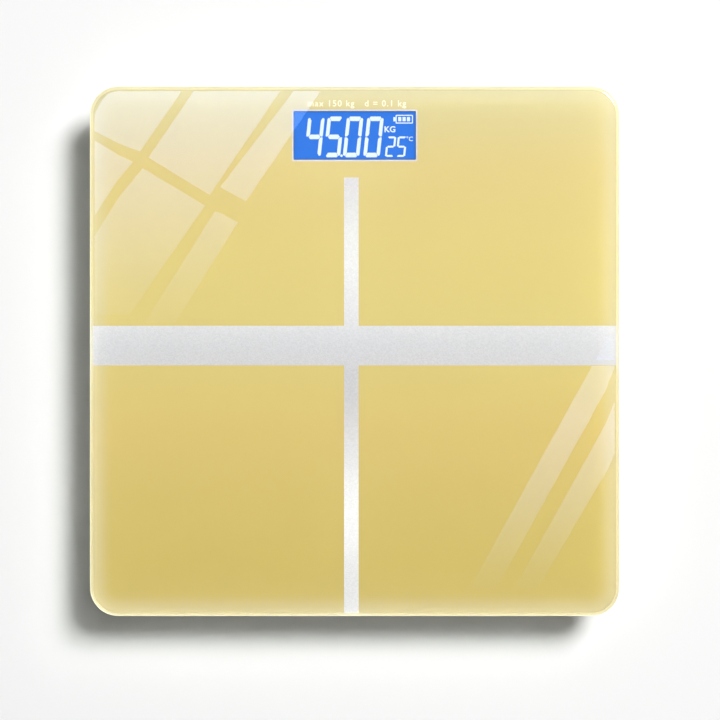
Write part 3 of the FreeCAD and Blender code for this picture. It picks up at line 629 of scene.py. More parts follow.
@dataclass(frozen=True)
class LitFilm(Finish):
    """Blue polarizing film lit from behind: even in the middle, with a painted shadow that darkens it along
    the edges of its window.
    """

    # The colour of the painted shadow along the window's edges.
    edge: str = "#38609e"
    unlit: str = "#06122a"
    centre: Point = (0.0, 106.1)
    half: Point = (30.1, 12.0)
    painted_shadow_width: float = 0.9
    patch: float = 14.0
    strength: float = 1.0

    def surface(self, tree: Tree) -> Socket:
        """Adds the film's nodes and returns its shader."""
        here = own_point(tree)
        # Painted shadow: the glow darkens within a millimetre of the window's edges, where its walls shade
        # the film.
        reach = []
        for place, centre, half in zip(axes(tree, here), self.centre, self.half):
            away = reckon(tree, "ABSOLUTE", reckon(tree, "SUBTRACT", place, centre * MM))
            reach.append(reckon(tree, "SUBTRACT", away, half * MM))
        nearest = reckon(tree, "MAXIMUM", *reach)
        painted_edge_shadow = spread(tree, nearest, start=-self.painted_shadow_width * MM, end=0.0, smooth=True)
        uneven = spread(tree, clouds(tree, here, self.patch, detail=1.0), low=0.96, high=1.04)
        glow = toned(tree, mixed(tree, painted_edge_shadow, linear(self.tint), linear(self.edge)), uneven)
        return skin(tree, Base_Color=linear(self.unlit), Roughness=0.5, Specular_IOR_Level=0.1,
                    Emission_Color=glow, Emission_Strength=self.strength)


@dataclass(frozen=True)
class LitMark(Finish):
    """An open segment of the display, through which the backlight shows almost white with a cyan cast."""

    unlit: str = "#30343a"
    patch: float = 3.0
    strength: float = 1.0

    def surface(self, tree: Tree) -> Socket:
        """Adds the mark's nodes and returns its shader."""
        uneven = spread(tree, clouds(tree, own_point(tree), self.patch, detail=1.0), low=0.96, high=1.03)
        glow = toned(tree, linear(self.tint), uneven)
        return skin(tree, Base_Color=linear(self.unlit), Roughness=0.35, Emission_Color=glow,
                    Emission_Strength=self.strength)


@dataclass(frozen=True)
class SolderMask(Finish):
    """Green mask over a copper-clad board: a glassy coat that shows the tracks as paler lines under it."""

    track: str = "#2b7a45"
    pitch: float = 1.6
    track_width: float = 0.16
    track_length: float = 6.0
    track_depth: float = 0.035

    def surface(self, tree: Tree) -> Socket:
        """Adds the mask's nodes and returns its shader."""
        bricks = add_node(tree, "ShaderNodeTexBrick", {
            "Vector": own_point(tree), "Color1": (0, 0, 0, 1), "Color2": (0, 0, 0, 1), "Mortar": (1, 1, 1, 1),
            "Scale": 1.0, "Mortar Size": self.track_width * MM, "Row Height": self.pitch * MM,
            "Brick Width": self.track_length * self.pitch * MM,
        }, offset=0.37).outputs[0]
        colour = mixed(tree, bricks, linear(self.tint), linear(self.track))
        relief = bumped(tree, bricks, strength=0.4, depth=self.track_depth)
        return skin(tree, Base_Color=colour, Roughness=0.3, Normal=relief,
                    Coat_Weight=0.5, Coat_Roughness=0.1)


@dataclass(frozen=True)
class CellSleeve(Finish):
    """Shrink sleeve of a dry cell: dark and glossy, copper-coloured at the nub end, with bare metal ends."""

    band: str = "#b9793c"
    metal: str = "#c9c9c6"
    nub_end: float = 24.9
    nub: float = 1.6
    band_end: float = 12.4
    sleeve_end: float = 43.8
    fade: float = 0.1
    crease: float = 2.5
    side: int = 1

    def surface(self, tree: Tree) -> Socket:
        """Adds the sleeve's nodes and returns its shader."""
        here = own_point(tree)
        run = reckon(tree, "MULTIPLY", axes(tree, here)[0], self.side / MM)
        band, nub, tail = (self.nub_end - length for length in (self.band_end, self.nub, self.sleeve_end))
        at_nub = spread(tree, run, start=band, end=band + 2 * self.fade)
        bare_near = spread(tree, run, start=nub, end=nub + self.fade)
        bare_far = spread(tree, run, start=tail, end=tail - self.fade)
        bare = reckon(tree, "MAXIMUM", bare_near, bare_far)
        sleeve = mixed(tree, at_nub, linear(self.tint), linear(self.band))
        colour = mixed(tree, bare, sleeve, linear(self.metal))
        relief = bumped(tree, clouds(tree, here, self.crease), strength=0.2, depth=0.05)
        metallic = reckon(tree, "MAXIMUM", bare, at_nub)
        return skin(tree, Base_Color=colour, Metallic=metallic, Roughness=0.26, Normal=relief)


@dataclass(frozen=True)
class PaintedBackdrop(Finish):
    """Matt white sweep of a studio table: its upper face is paper white, and from below it can't be seen."""

    def surface(self, tree: Tree) -> Socket:
        """Adds the sweep's nodes and returns its shader."""
        paint = skin(tree, Base_Color=linear(self.tint), Roughness=0.9, Specular_IOR_Level=0.1)
        hidden = add_node(tree, "ShaderNodeBsdfTransparent").outputs[0]
        from_below = add_node(tree, "ShaderNodeNewGeometry").outputs["Backfacing"]
        return add_node(tree, "ShaderNodeMixShader", {0: from_below, 1: paint, 2: hidden}).outputs[0]


@dataclass(frozen=True)
class CardGlow(Finish):
    """A bright window card: daylight that fades from its upper end to its lower end."""

    levels: tuple[tuple[float, float], ...] = ((0.0, 0.0), (1000.0, 1.0))
    strength: float = 8.0

    def surface(self, tree: Tree) -> Socket:
        """Adds the card's nodes and returns its shader."""
        stops = [(level, (share, share, share, 1.0)) for level, share in self.levels]
        power = reckon(tree, "MULTIPLY", run_of_colours(tree, own_point(tree), stops), self.strength)
        glow = add_node(tree, "ShaderNodeEmission", {"Color": linear(self.tint), "Strength": power})
        return glow.outputs[0]


@dataclass(frozen=True)
class GroundEdge(Finish):
    """The ground round of a glass edge: it scatters the light that has crossed the plate, so it glows."""

    share: float = 0.75
    uneven: float = 0.05
    grind: float = 0.8

    def surface(self, tree: Tree) -> Socket:
        """Adds the edge's nodes and returns its shader."""
        grind = clouds(tree, own_point(tree), self.grind, detail=2.0)
        amount = spread(tree, grind, self.share - self.uneven, self.share + self.uneven)
        glow = add_node(tree, "ShaderNodeBsdfTranslucent", {"Color": linear(self.tint)}).outputs[0]
        clear = add_node(tree, "ShaderNodeBsdfTransparent").outputs[0]
        return add_node(tree, "ShaderNodeMixShader", {0: amount, 1: clear, 2: glow}).outputs[0]


# Tempered float glass is clear with a weak green-yellow cast that only shows through its edge.
FLOAT_GLASS = ClearSheet("tempered_float_glass", "#fcfefb")
# The display's two thin sheets are clearer and thinner, so they carry no cast.
DISPLAY_GLASS = ClearSheet("display_glass", "#f4f8ff")
# Acrylic bends light a little less than glass.
GUIDE_ACRYLIC = ClearSheet("light_guide_acrylic", "#cfe0ff", ior=1.49)
GROUND_GLASS = GroundEdge("ground_glass_edge", "#fffdf0")
YELLOW_ENAMEL = EnamelInk("screen_printed_yellow_enamel", "#beb073")
SILVER_GLITTER = GlitterInk("glitter_silver_ink", "#e3e5e4")
# White ink of the marking: opaque and slightly warm where the yellow shows at its edges.
CREAM_INK = MouldedPlastic("cream_marking_ink", "#e2d7c8", shade="#dbd0bf", roughness=0.5, grain=0.3,
                           depth=0.002)
BLUE_FILM = LitFilm("blue_polarizing_film", "#2c7cf0")
OPEN_SEGMENT = LitMark("lit_display_segment", "#eefcff")
# Spark-eroded ABS is matt and hides scuffs; the same grade makes the tray and its door.
WHITE_ABS = MouldedPlastic("spark_eroded_white_abs", "#e0e0dc", shade="#d9d9d4", roughness=0.46)
# The cups are moulded in a greyer regrind of it with a finer grain.
CUP_ABS = MouldedPlastic("moulded_grey_abs", "#d7d7d3", shade="#cccdc9", roughness=0.4, grain=0.3)
BUTTON_ABS = MouldedPlastic("polished_grey_abs", "#8f9090", shade="#858686", roughness=0.28, grain=0.2,
                            depth=0.004)
# Natural polycarbonate is white with a satin skin.
FRAME_PC = MouldedPlastic("white_polycarbonate", "#f1f1ee", shade="#e8e8e4", roughness=0.35, grain=0.4,
                          depth=0.01)
# Glass-filled nylon shows pale fibres in a black skin.
BLACK_NYLON = MouldedPlastic("glass_filled_black_nylon", "#26272a", shade="#34363a", roughness=0.5,
                             grain=0.25, depth=0.03, cloud=1.2)
PLUNGER_NYLON = MouldedPlastic("natural_nylon", "#dcd8cb", shade="#cfcaba", roughness=0.35, grain=0.3,
                               depth=0.004)
SWITCH_RESIN = MouldedPlastic("black_switch_resin", "#17181a", shade="#202124", roughness=0.3, grain=0.3,
                              depth=0.006)
LAMP_RESIN = MouldedPlastic("white_lamp_package", "#eef4ff", shade="#dfe8f8", roughness=0.25, grain=0.3,
                            depth=0.004)
REFLECTOR_FILM = MouldedPlastic("white_reflector_film", "#f6f6f6", shade="#efefef", roughness=0.22,
                                grain=0.8, depth=0.003)
# Epoxy sets with a wet gloss and a slightly wavy skin.
EPOXY_DROP = MouldedPlastic("black_epoxy_drop", "#121213", shade="#1b1b1c", roughness=0.16, grain=2.4,
                            depth=0.05)
CHIP_CERAMIC = MouldedPlastic("fired_chip_ceramic", "#7d6648", shade="#5d4a34", roughness=0.4,
                              grain=0.15, depth=0.01, cloud=2.0)
LABEL_PAPER = MouldedPlastic("matt_silver_label_film", "#dfe0e0", shade="#d6d7d7", roughness=0.36,
                             grain=0.2, depth=0.003)
LABEL_INK = MouldedPlastic("grey_label_ink", "#5e6062", shade="#565859", roughness=0.5, grain=0.2,
                           depth=0.002)
PAD_RUBBER = SoftRubber("non_slip_grey_rubber", "#9b9d9b", shade="#8d8f8e", pore=0.5, depth=0.03)
FOAM_TAPE = SoftRubber("white_foam_tape", "#e4e4df", shade="#d9d9d3", pore=0.7, depth=0.08)
GASKET_FOAM = SoftRubber("black_cell_foam", "#1b1b1c", shade="#262628", pore=0.6, depth=0.08)
SEALANT = SoftRubber("white_silicone_sealant", "#f0f0ea", shade="#e5e5dd", pore=2.0, depth=0.1,
                     roughness=0.4)
RED_PVC = SoftRubber("red_pvc_cover", "#b92420", shade="#a81e1c", pore=1.2, depth=0.01, roughness=0.38)
WHITE_PVC = SoftRubber("white_pvc_cover", "#e3e3dd", shade="#d8d8d0", pore=1.2, depth=0.01, roughness=0.38)
CELL_STEEL = WorkedMetal("tumbled_spring_steel", "#b5b6b8", roughness=0.36, line=0.4, along=(1.0, 1.0, 1.0))
SCREW_ZINC = WorkedMetal("zinc_plated_steel", "#bdbfc2", roughness=0.26)
TIN = WorkedMetal("tinned_copper", "#cfcdc6", roughness=0.22)
NICKEL = WorkedMetal("nickel_plated_spring_wire", "#cbc7bd", roughness=0.24)
GREEN_MASK = SolderMask("green_solder_mask", "#14532b")


# ---------------------------------------------------------------- shape rules
def open_rule(name: str, kinds: dict[str, str]) -> tuple[Tree, dict[str, str], Sequence[Socket]]:
    """Starts the tree of a shape rule that takes a geometry and some named sizes.

    Args:
        name: the tree's name.
        kinds: the socket type of each named input.

    Returns:
        The tree, each named input's identifier, and what is given to the rule.
    """
    made = bpy.data.node_groups.new(name, "GeometryNodeTree")
    face = made.interface
    face.new_socket("Geometry", in_out="INPUT", socket_type="NodeSocketGeometry")
    inputs = {}
    for key, kind in kinds.items():
        inputs[key] = face.new_socket(key, in_out="INPUT", socket_type=kind).identifier
    face.new_socket("Geometry", in_out="OUTPUT", socket_type="NodeSocketGeometry")
    return made, inputs, add_node(made, "NodeGroupInput").outputs


def close_rule(tree: Tree, parts: list[Socket], material: bpy.types.Material) -> None:
    """Ends the tree of a shape rule: its parts become one real mesh of one material.

    Args:
        tree: the rule's tree.
        parts: the geometries that are joined.
        material: what they are made of.
    """
    whole = add_node(tree, "GeometryNodeJoinGeometry", {0: parts})
    real = add_node(tree, "GeometryNodeRealizeInstances", {0: whole.outputs[0]})
    dressed = add_node(tree, "GeometryNodeSetMaterial", {"Geometry": real.outputs[0], "Material": material})
    add_node(tree, "NodeGroupOutput", {0: dressed.outputs[0]})


@dataclass(frozen=True)
class SmoothSkin:
    """The shape rule of smooth rounds: a CAD part's loose facets join, and only its real edges stay sharp."""

    name: str = "smooth_skin"
    join: float = 0.0004
    crease: float = 32.0

    def tree(self) -> Tree:
        """Returns the rule's tree, made once."""
        made = bpy.data.node_groups.get(self.name)
        if made is not None:
            return made
        made, _, given = open_rule(self.name, {})
        joined = add_node(made, "GeometryNodeMergeByDistance", {
            "Geometry": given[0], "Distance": self.join * MM,
        })
        smooth = add_node(made, "GeometryNodeSetShadeSmooth", {
            "Geometry": joined.outputs[0], "Shade Smooth": True,
        })
        angle = add_node(made, "GeometryNodeInputMeshEdgeAngle")
        sharp = add_node(made, "FunctionNodeCompare", {
            0: angle.outputs["Unsigned Angle"], 1: math.radians(self.crease),
        }, data_type="FLOAT", operation="GREATER_THAN")
        edges = add_node(made, "GeometryNodeSetShadeSmooth", {
            "Geometry": smooth.outputs[0], "Selection": sharp.outputs[0], "Shade Smooth": False,
        }, domain="EDGE")
        add_node(made, "NodeGroupOutput", {0: edges.outputs[0]})
        return made


@dataclass(frozen=True)
class StuddedPad:
    """The shape rule of a pad's tread: short studs stand on rings round its middle."""

    name: str = "studded_pad"
    rings: tuple[tuple[float, int], ...] = ((3.0, 8), (6.2, 16), (11.7, 30), (16.9, 44))
    sides: int = 10
    taper: float = 0.72

    def tree(self, material: bpy.types.Material) -> tuple[Tree, dict[str, str]]:
        """Makes the rule's tree.

        Args:
            material: what the studs are made of.

        Returns:
            The tree, and each named input's identifier.
        """
        kinds = {"Stud radius": "NodeSocketFloat", "Stud height": "NodeSocketFloat",
                 "Centre": "NodeSocketVector"}
        made, inputs, given = open_rule(self.name, kinds)
        root = reckon(made, "MULTIPLY", given["Stud radius"], self.taper)
        stud = add_node(made, "GeometryNodeMeshCone", {
            "Vertices": self.sides, "Side Segments": 1, "Fill Segments": 1, "Depth": given["Stud height"],
            "Radius Top": given["Stud radius"], "Radius Bottom": root,
        })
        rings = []
        for radius, count in self.rings:
            ring = add_node(made, "GeometryNodeMeshCircle", {"Vertices": count, "Radius": radius * MM})
            feeds = {"Points": ring.outputs[0], "Instance": stud.outputs[0]}
            rings.append(add_node(made, "GeometryNodeInstanceOnPoints", feeds).outputs[0])
        joined = add_node(made, "GeometryNodeJoinGeometry", {0: rings})
        feeds = {"Geometry": joined.outputs[0], "Translation": given["Centre"]}
        moved = add_node(made, "GeometryNodeTransform", feeds)
        close_rule(made, [moved.outputs[0], given["Geometry"]], material)
        return made, inputs


@dataclass(frozen=True)
class RuledLines:
    """The shape rule of a printed table: level rules at one pitch, each a thin bar."""

    name: str = "ruled_lines"

    def tree(self, material: bpy.types.Material) -> tuple[Tree, dict[str, str]]:
        """Makes the rule's tree.

        Args:
            material: the ink of the rules.

        Returns:
            The tree, and each named input's identifier.
        """
        kinds = {"Rules": "NodeSocketInt", "Pitch": "NodeSocketVector", "Bar": "NodeSocketVector",
                 "Start": "NodeSocketVector"}
        made, inputs, given = open_rule(self.name, kinds)
        feeds = {"Count": given["Rules"], "Start Location": given["Start"], "Offset": given["Pitch"]}
        line = add_node(made, "GeometryNodeMeshLine", feeds)
        bar = add_node(made, "GeometryNodeMeshCube", {"Size": given["Bar"]})
        feeds = {"Points": line.outputs[0], "Instance": bar.outputs[0]}
        bars = add_node(made, "GeometryNodeInstanceOnPoints", feeds)
        close_rule(made, [bars.outputs[0], given["Geometry"]], material)
        return made, inputs


def grown(mesh: Mesh, tree: Tree, inputs: dict[str, object]) -> Mesh:
    """Runs a shape rule on a mesh.

    Args:
        mesh: what the rule starts from.
        tree: the rule's tree.
        inputs: a value for each input's identifier.

    Returns:
        A plain mesh of the result.
    """
    holder = placed("grown", mesh)
    rule = holder.modifiers.new("rule", "NODES")
    rule.node_group = tree
    for identifier, value in inputs.items():
        rule[identifier] = value
    holder.update_tag()
    result = bpy.data.meshes.new_from_object(holder.evaluated_get(bpy.context.evaluated_depsgraph_get()))
    holder.modifiers.remove(rule)
    bpy.data.objects.remove(holder)
    return result


# ---------------------------------------------------------------- sub-assemblies
class Corner(Enum):
    """The scale's four corners, by their names in the CAD model."""

    FRONT_LEFT = "front_left"
    FRONT_RIGHT = "front_right"
    REAR_LEFT = "rear_left"
    REAR_RIGHT = "rear_right"


@dataclass
class SubAssembly:
    """What every sub-assembly does: it turns meshes into pieces and dresses CAD parts."""

    body: str = "scale_base"

    def piece(self, name: str, mesh: Mesh, finish: Finish, slot: str, stands_for: Sequence[str] = (),
              smooth: bool = False) -> bpy.types.Object:
        """Makes a finished mesh a piece that rides on the sub-assembly's body.

        Args:
            name: the piece's name.
            mesh: its mesh, with its place in it.
            finish: its finish.
            slot: the record's material slot that the finish stands for; not used.
            stands_for: the CAD parts it is shown instead of.
            smooth: rounds the shading of its faces, except over real edges.

        Returns:
            The piece.
        """
        mesh.name = name
        mesh.materials.clear()
        mesh.materials.append(finish.material())
        for face in mesh.polygons:
            face.material_index = 0
        if smooth:
            mesh.shade_smooth()
            mesh.set_sharp_from_angle(angle=math.radians(PIECE_CREASE))
        made = placed(name, mesh)
        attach(made, self.body)
        if stands_for:
            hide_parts(*stands_for)
        LOG.info("made %s: %d faces, %s", name, len(mesh.polygons), finish.name)
        return made

    def dress(self, node: str, finish: Finish) -> None:
        """Gives a CAD part its finish and joins its facets into smooth rounds.

        Args:
            node: the part's name.
            finish: its finish.
        """
        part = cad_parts[node]
        part.data.materials.clear()
        part.data.materials.append(finish.material())
        for face in part.data.polygons:
            face.material_index = 0
        part.modifiers.new("smooth_skin", "NODES").node_group = SmoothSkin().tree()
        flats = part.modifiers.new("true_flats", "WEIGHTED_NORMAL")
        flats.keep_sharp = True
        flats.weight = FLAT_WEIGHT
        LOG.info("dressed %s in %s", node, finish.name)

    def dress_all(self, finishes: dict[str, Finish]) -> None:
        """Gives several CAD parts their finishes, in order."""
        for node, finish in finishes.items():
            self.dress(node, finish)

    def build(self) -> None:
        """Makes and dresses everything in the sub-assembly."""
        raise NotImplementedError


@dataclass
class Platform(SubAssembly):
    """The glass plate, the two inks on its back, its marking and the tape that holds it."""

    print_half: float = 128.6
    print_corner: float = 12.6
    yellow_levels: Point = (18.85, 19.012)
    silver_levels: Point = (18.87, 19.03)
    stripe_x: float = -1.65
    stripe_half: float = 3.6
    stripe_rear: float = 85.4
    band_y: float = 2.8
    band_half: float = 9.7
    window_at: Point = (0.0, 106.1)
    window_half: Point = (30.1, 12.0)
    window_corner: float = 0.5
    border: float = 0.7
    border_corner: float = 0.8
    marking: str = "max 150 kg   d = 0.1 kg"
    marking_size: float = 4.3
    marking_spacing: float = 1.16
    marking_at: Point = (1.0, 120.4)
    plate_half: float = 130.0
    plate_corner: float = 14.0
    round_radius: float = 2.4
    round_middle: float = 22.6
    ground_depths: Point = (0.06, 0.2)
    ground_turn: Point = (-8.0, 70.0)
    ground_steps: int = 8

    def cross(self) -> Outline:
        """The outline of the silver cross: the band over the whole width and the stripe from the front."""
        edge, rear = self.print_half, self.stripe_rear
        left, right = self.stripe_x - self.stripe_half, self.stripe_x + self.stripe_half
        low, high = self.band_y - self.band_half, self.band_y + self.band_half
        return [
            (left, -edge), (right, -edge), (right, low), (edge, low), (edge, high), (right, high),
            (right, rear), (left, rear), (left, high), (-edge, high), (-edge, low), (left, low),
        ]

    def ground_rim(self) -> Mesh:
        """The thin ground layer just under the glass edge's top round."""
        first, last = self.ground_turn
        steps = range(self.ground_steps + 1)
        turn = [math.radians(first + (last - first) * step / self.ground_steps) for step in steps]
        radius, middle = self.round_radius, self.round_middle
        outer, inner = (
            [(radius - reach * math.cos(a), middle + reach * math.sin(a)) for a in turn]
            for reach in (radius - depth for depth in self.ground_depths)
        )
        return swept_rim([*outer, *reversed(inner)], self.plate_half, self.plate_corner)

    def build(self) -> None:
        """Makes the inks, the marking and the ground rim, and dresses the glass and the tape."""
        half_x, half_y = self.window_half
        opening = rounded_outline(half_x, half_y, self.window_corner, self.window_at, 4)
        border = self.border
        rim = rounded_outline(half_x + border, half_y + border, self.border_corner, self.window_at, 4)
        sheet = rounded_outline(self.print_half, self.print_half, self.print_corner)
        self.piece("yellow_print_sheet", plate([sheet, opening], *self.yellow_levels), YELLOW_ENAMEL,
                   "yellow_print", stands_for=["colour_print"])
        self.piece("silver_print_cross", plate([self.cross(), rim, opening], *self.silver_levels),
                   SILVER_GLITTER, "silver_print", stands_for=["silver_print"])
        words = lettering(self.marking, self.marking_size, self.silver_levels, self.marking_at,
                          spacing=self.marking_spacing)
        self.piece("capacity_marking", words, CREAM_INK, "silver_print")
        ground = self.piece("ground_glass_rim", self.ground_rim(), GROUND_GLASS, "clear_glass", smooth=True)
        ground.visible_shadow = False
        self.dress_all({"glass_platform": FLOAT_GLASS, "platform_adhesive": FOAM_TAPE})


@dataclass
class Display(SubAssembly):
    """The lit display module: its layers, its slanted seven-bar digits and its small symbols."""

    levels: Point = (17.6, 17.62)
    slant: float = 0.105
    big_digits: tuple[tuple[str, float], ...] = (("4", -19.8), ("5", -10.25), ("0", -0.8), ("0", 9.25))
    big_level: float = 105.45
    big_half: Point = (3.2, 8.9)
    big_bars: Point = (2.25, 1.75)
    small_digits: tuple[tuple[str, float], ...] = (("2", 17.65), ("5", 23.0))
    small_level: float = 100.65
    small_half: Point = (1.8, 4.55)
    small_bars: Point = (0.95, 1.0)
    point_at: Point = (-6.5, 96.2)
    point_radius: float = 0.6
    cell_at: Point = (24.4, 114.15)
    cell_half: Point = (4.25, 2.15)
    cell_line: float = 0.5
    nub_half: Point = (0.55, 1.05)
    nub_shift: float = -4.85
    charge_half: Point = (0.78, 1.05)
    charge_shifts: Place = (-2.25, -0.1, 2.05)
    unit_size: float = 4.1
    unit_at: Point = (17.3, 107.8)
    unit_bolder: float = 0.09
    degree_size: float = 3.1
    degree_at: Point = (27.0, 103.4)
    degree_bolder: float = 0.03

    def bars(self, digit: str, centre: Point, half: Point, widths: Point) -> list[Outline]:
        """The lit bars of one digit, with mitred ends and thin gaps.

        Args:
            digit: which digit.
            centre: its middle in millimetres.
            half: half the distance between its uprights, and between its middle and end bars' centres.
            widths: the level bars' width and the uprights' width.

        Returns:
            One outline for each lit bar.
        """
        a, h = half
        level, upright = widths[0] / 2, widths[1] / 2
        gap, bevel, tip, taper = upright * 0.3, level * 0.42, level * 0.35, level * 0.8
        end, inner = a - gap, a - upright - gap
        top = [(-end, h + tip), (-end + bevel, h + level), (end - bevel, h + level), (end, h + tip),
               (inner, h - level), (-inner, h - level)]
        middle = [(-end, 0), (-end + taper, level), (end - taper, level), (end, 0), (end - taper, -level),
                  (-end + taper, -level)]
        right = [
            (a, h + level * 0.4), (a + upright * 0.75, h + level * 0.15), (a + upright, h - level * 0.3),
            (a + upright, gap * 1.5), (a + upright * 0.4, gap * 0.4), (a - upright * 0.4, gap * 1.5),
            (a - upright, level * 0.95), (a - upright, h - level * 0.75),
            (a - upright * 0.2, h + level * 0.2),
        ]
        shapes = {
            "a": top, "b": right, "g": middle,
            "c": [(x, -y) for x, y in reversed(right)],
            "d": [(x, -y) for x, y in reversed(top)],
            "e": [(-x, -y) for x, y in right],
            "f": [(-x, y) for x, y in reversed(right)],
        }
        middle_x, middle_y = centre
        lit = (shapes[bar] for bar in LIT_BARS[digit])
        return [[(middle_x + x + self.slant * y, middle_y + y) for x, y in shape] for shape in lit]

    def cell_symbol(self) -> list[Outline]:
        """The outlines of the full cell symbol: a frame with its nub at the left, and three bars."""
        x, y = self.cell_at
        half_x, half_y = self.cell_half
        line = self.cell_line
        outside = rounded_outline(half_x, half_y, 0.4, self.cell_at, 3)
        inside = rounded_outline(half_x - line, half_y - line, 0.25, self.cell_at, 3)
        nub = rounded_outline(*self.nub_half, 0.2, (x + self.nub_shift, y), 3)
        charge = [rounded_outline(*self.charge_half, 0.12, (x + shift, y), 2) for shift in self.charge_shifts]
        return [outside, inside, nub, *charge]

    def build(self) -> None:
        """Makes the digits and symbols, and dresses the module's layers."""
        outlines = []
        for digit, x in self.big_digits:
            outlines += self.bars(digit, (x, self.big_level), self.big_half, self.big_bars)
        for digit, x in self.small_digits:
            outlines += self.bars(digit, (x, self.small_level), self.small_half, self.small_bars)
        radius = self.point_radius
        outlines.append(rounded_outline(radius, radius, radius * 0.9, self.point_at, 4))
        levels = self.levels
        marks = {
            "display_digits": plate(outlines, *levels),
            "display_cell_symbol": plate(self.cell_symbol(), *levels),
            "display_unit": lettering("KG", self.unit_size, levels, self.unit_at, bolder=self.unit_bolder),
            "display_degree": lettering("°C", self.degree_size, levels, self.degree_at,
                                        bolder=self.degree_bolder),
        }
        for name, mesh in marks.items():
            self.piece(name, mesh, OPEN_SEGMENT, "polarizer_film")
        self.dress_all({
            "lcd_polarizers": BLUE_FILM, "lcd_front_glass": DISPLAY_GLASS, "lcd_rear_glass": DISPLAY_GLASS,
            "backlight_guide": GUIDE_ACRYLIC, "backlight_reflector": REFLECTOR_FILM,
            "backlight_leds": LAMP_RESIN, "lcd_frame": FRAME_PC, "lcd_pins": TIN, "lcd_gasket": GASKET_FOAM,
        })


@dataclass
class Board(SubAssembly):
    """The circuit board under the display with its chip, its small parts and the unit button's switch."""

    def build(self) -> None:
        """Dresses the board's parts, and the button that rides on its own body."""
        self.dress_all({
            "main_pcb": GREEN_MASK, "pcb_screws": SCREW_ZINC, "controller_chip": EPOXY_DROP,
            "pcb_components": CHIP_CERAMIC, "temperature_sensor": EPOXY_DROP, "unit_switch": SWITCH_RESIN,
            "switch_plunger": PLUNGER_NYLON, "unit_button": BUTTON_ABS,
        })


@dataclass
class BaseTray(SubAssembly):
    """The moulded tray, its battery door, its rating label and the unit marks round its button."""

    label_half: Point = (30.4, 16.4)
    label_corner: float = 2.4
    label_at: Point = (0.0, -11.55)
    label_levels: Point = (4.06, 4.3)
    ink_levels: Point = (4.035, 4.06)
    table_inset: float = 1.6
    table_corner: float = 1.4
    table_line: float = 0.3
    rule_pitch: float = 5.2
    rule_count: int = 5
    button_at: Point = (-16.0, 102.1)
    mark_size: float = 4.2
    mark_levels: Point = (3.86, 4.02)
    marks: tuple[tuple[str, Point], ...] = (("kg", (0.0, 6.6)), ("lb", (-7.6, -1.0)), ("st", (7.6, -1.0)))

    def rating_label(self) -> None:
        """Makes the label film and, on it, a plain ruled table without words."""
        outline = rounded_outline(*self.label_half, self.label_corner, self.label_at, 6)
        self.piece("rating_label", plate([outline], *self.label_levels), LABEL_PAPER, "silver_print")
        tree, inputs = RuledLines().tree(LABEL_INK.material())
        x, y = self.label_at
        line = self.table_line
        half_x, half_y = (half - self.table_inset for half in self.label_half)
        bottom, top = self.ink_levels
        outer = rounded_outline(half_x, half_y, self.table_corner, self.label_at, 4)
        inner = rounded_outline(half_x - line, half_y - line, self.table_corner - line, self.label_at, 4)
        first = y - (self.rule_count - 1) / 2 * self.rule_pitch
        values = {
            inputs["Rules"]: self.rule_count, inputs["Pitch"]: (0.0, self.rule_pitch * MM, 0.0),
            inputs["Bar"]: (2 * (half_x - line) * MM, line * MM, (top - bottom) * MM),
            inputs["Start"]: (x * MM, first * MM, (bottom + top) / 2 * MM),
        }
        table = grown(plate([outer, inner], bottom, top), tree, values)
        self.piece("rating_table", table, LABEL_INK, "silver_print")

    def unit_marks(self) -> None:
        """Makes the raised unit names round the button, which are read from below."""
        x, y = self.button_at
        for words, (along, up) in self.marks:
            letters = lettering(words, self.mark_size, self.mark_levels, (x + along, y + up), flip=True)
            self.piece("unit_mark_" + words, letters, WHITE_ABS, "white_abs")

    def build(self) -> None:
        """Dresses the tray and its door, and makes the label and marks."""
        self.dress_all({"base_shell": WHITE_ABS, "battery_door": WHITE_ABS})
        self.rating_label()
        self.unit_marks()


@dataclass
class BatteryBay(SubAssembly):
    """The two cells with their springs, contact plates and leads."""

    sleeve: str = "#23262d"

    def build(self) -> None:
        """Dresses the cells and what carries their current."""
        self.dress_all({
            "battery_1": CellSleeve("cell_sleeve_right", self.sleeve, side=1),
            "battery_2": CellSleeve("cell_sleeve_left", self.sleeve, side=-1),
            "battery_springs": NICKEL, "battery_contacts": NICKEL, "battery_leads": RED_PVC,
        })


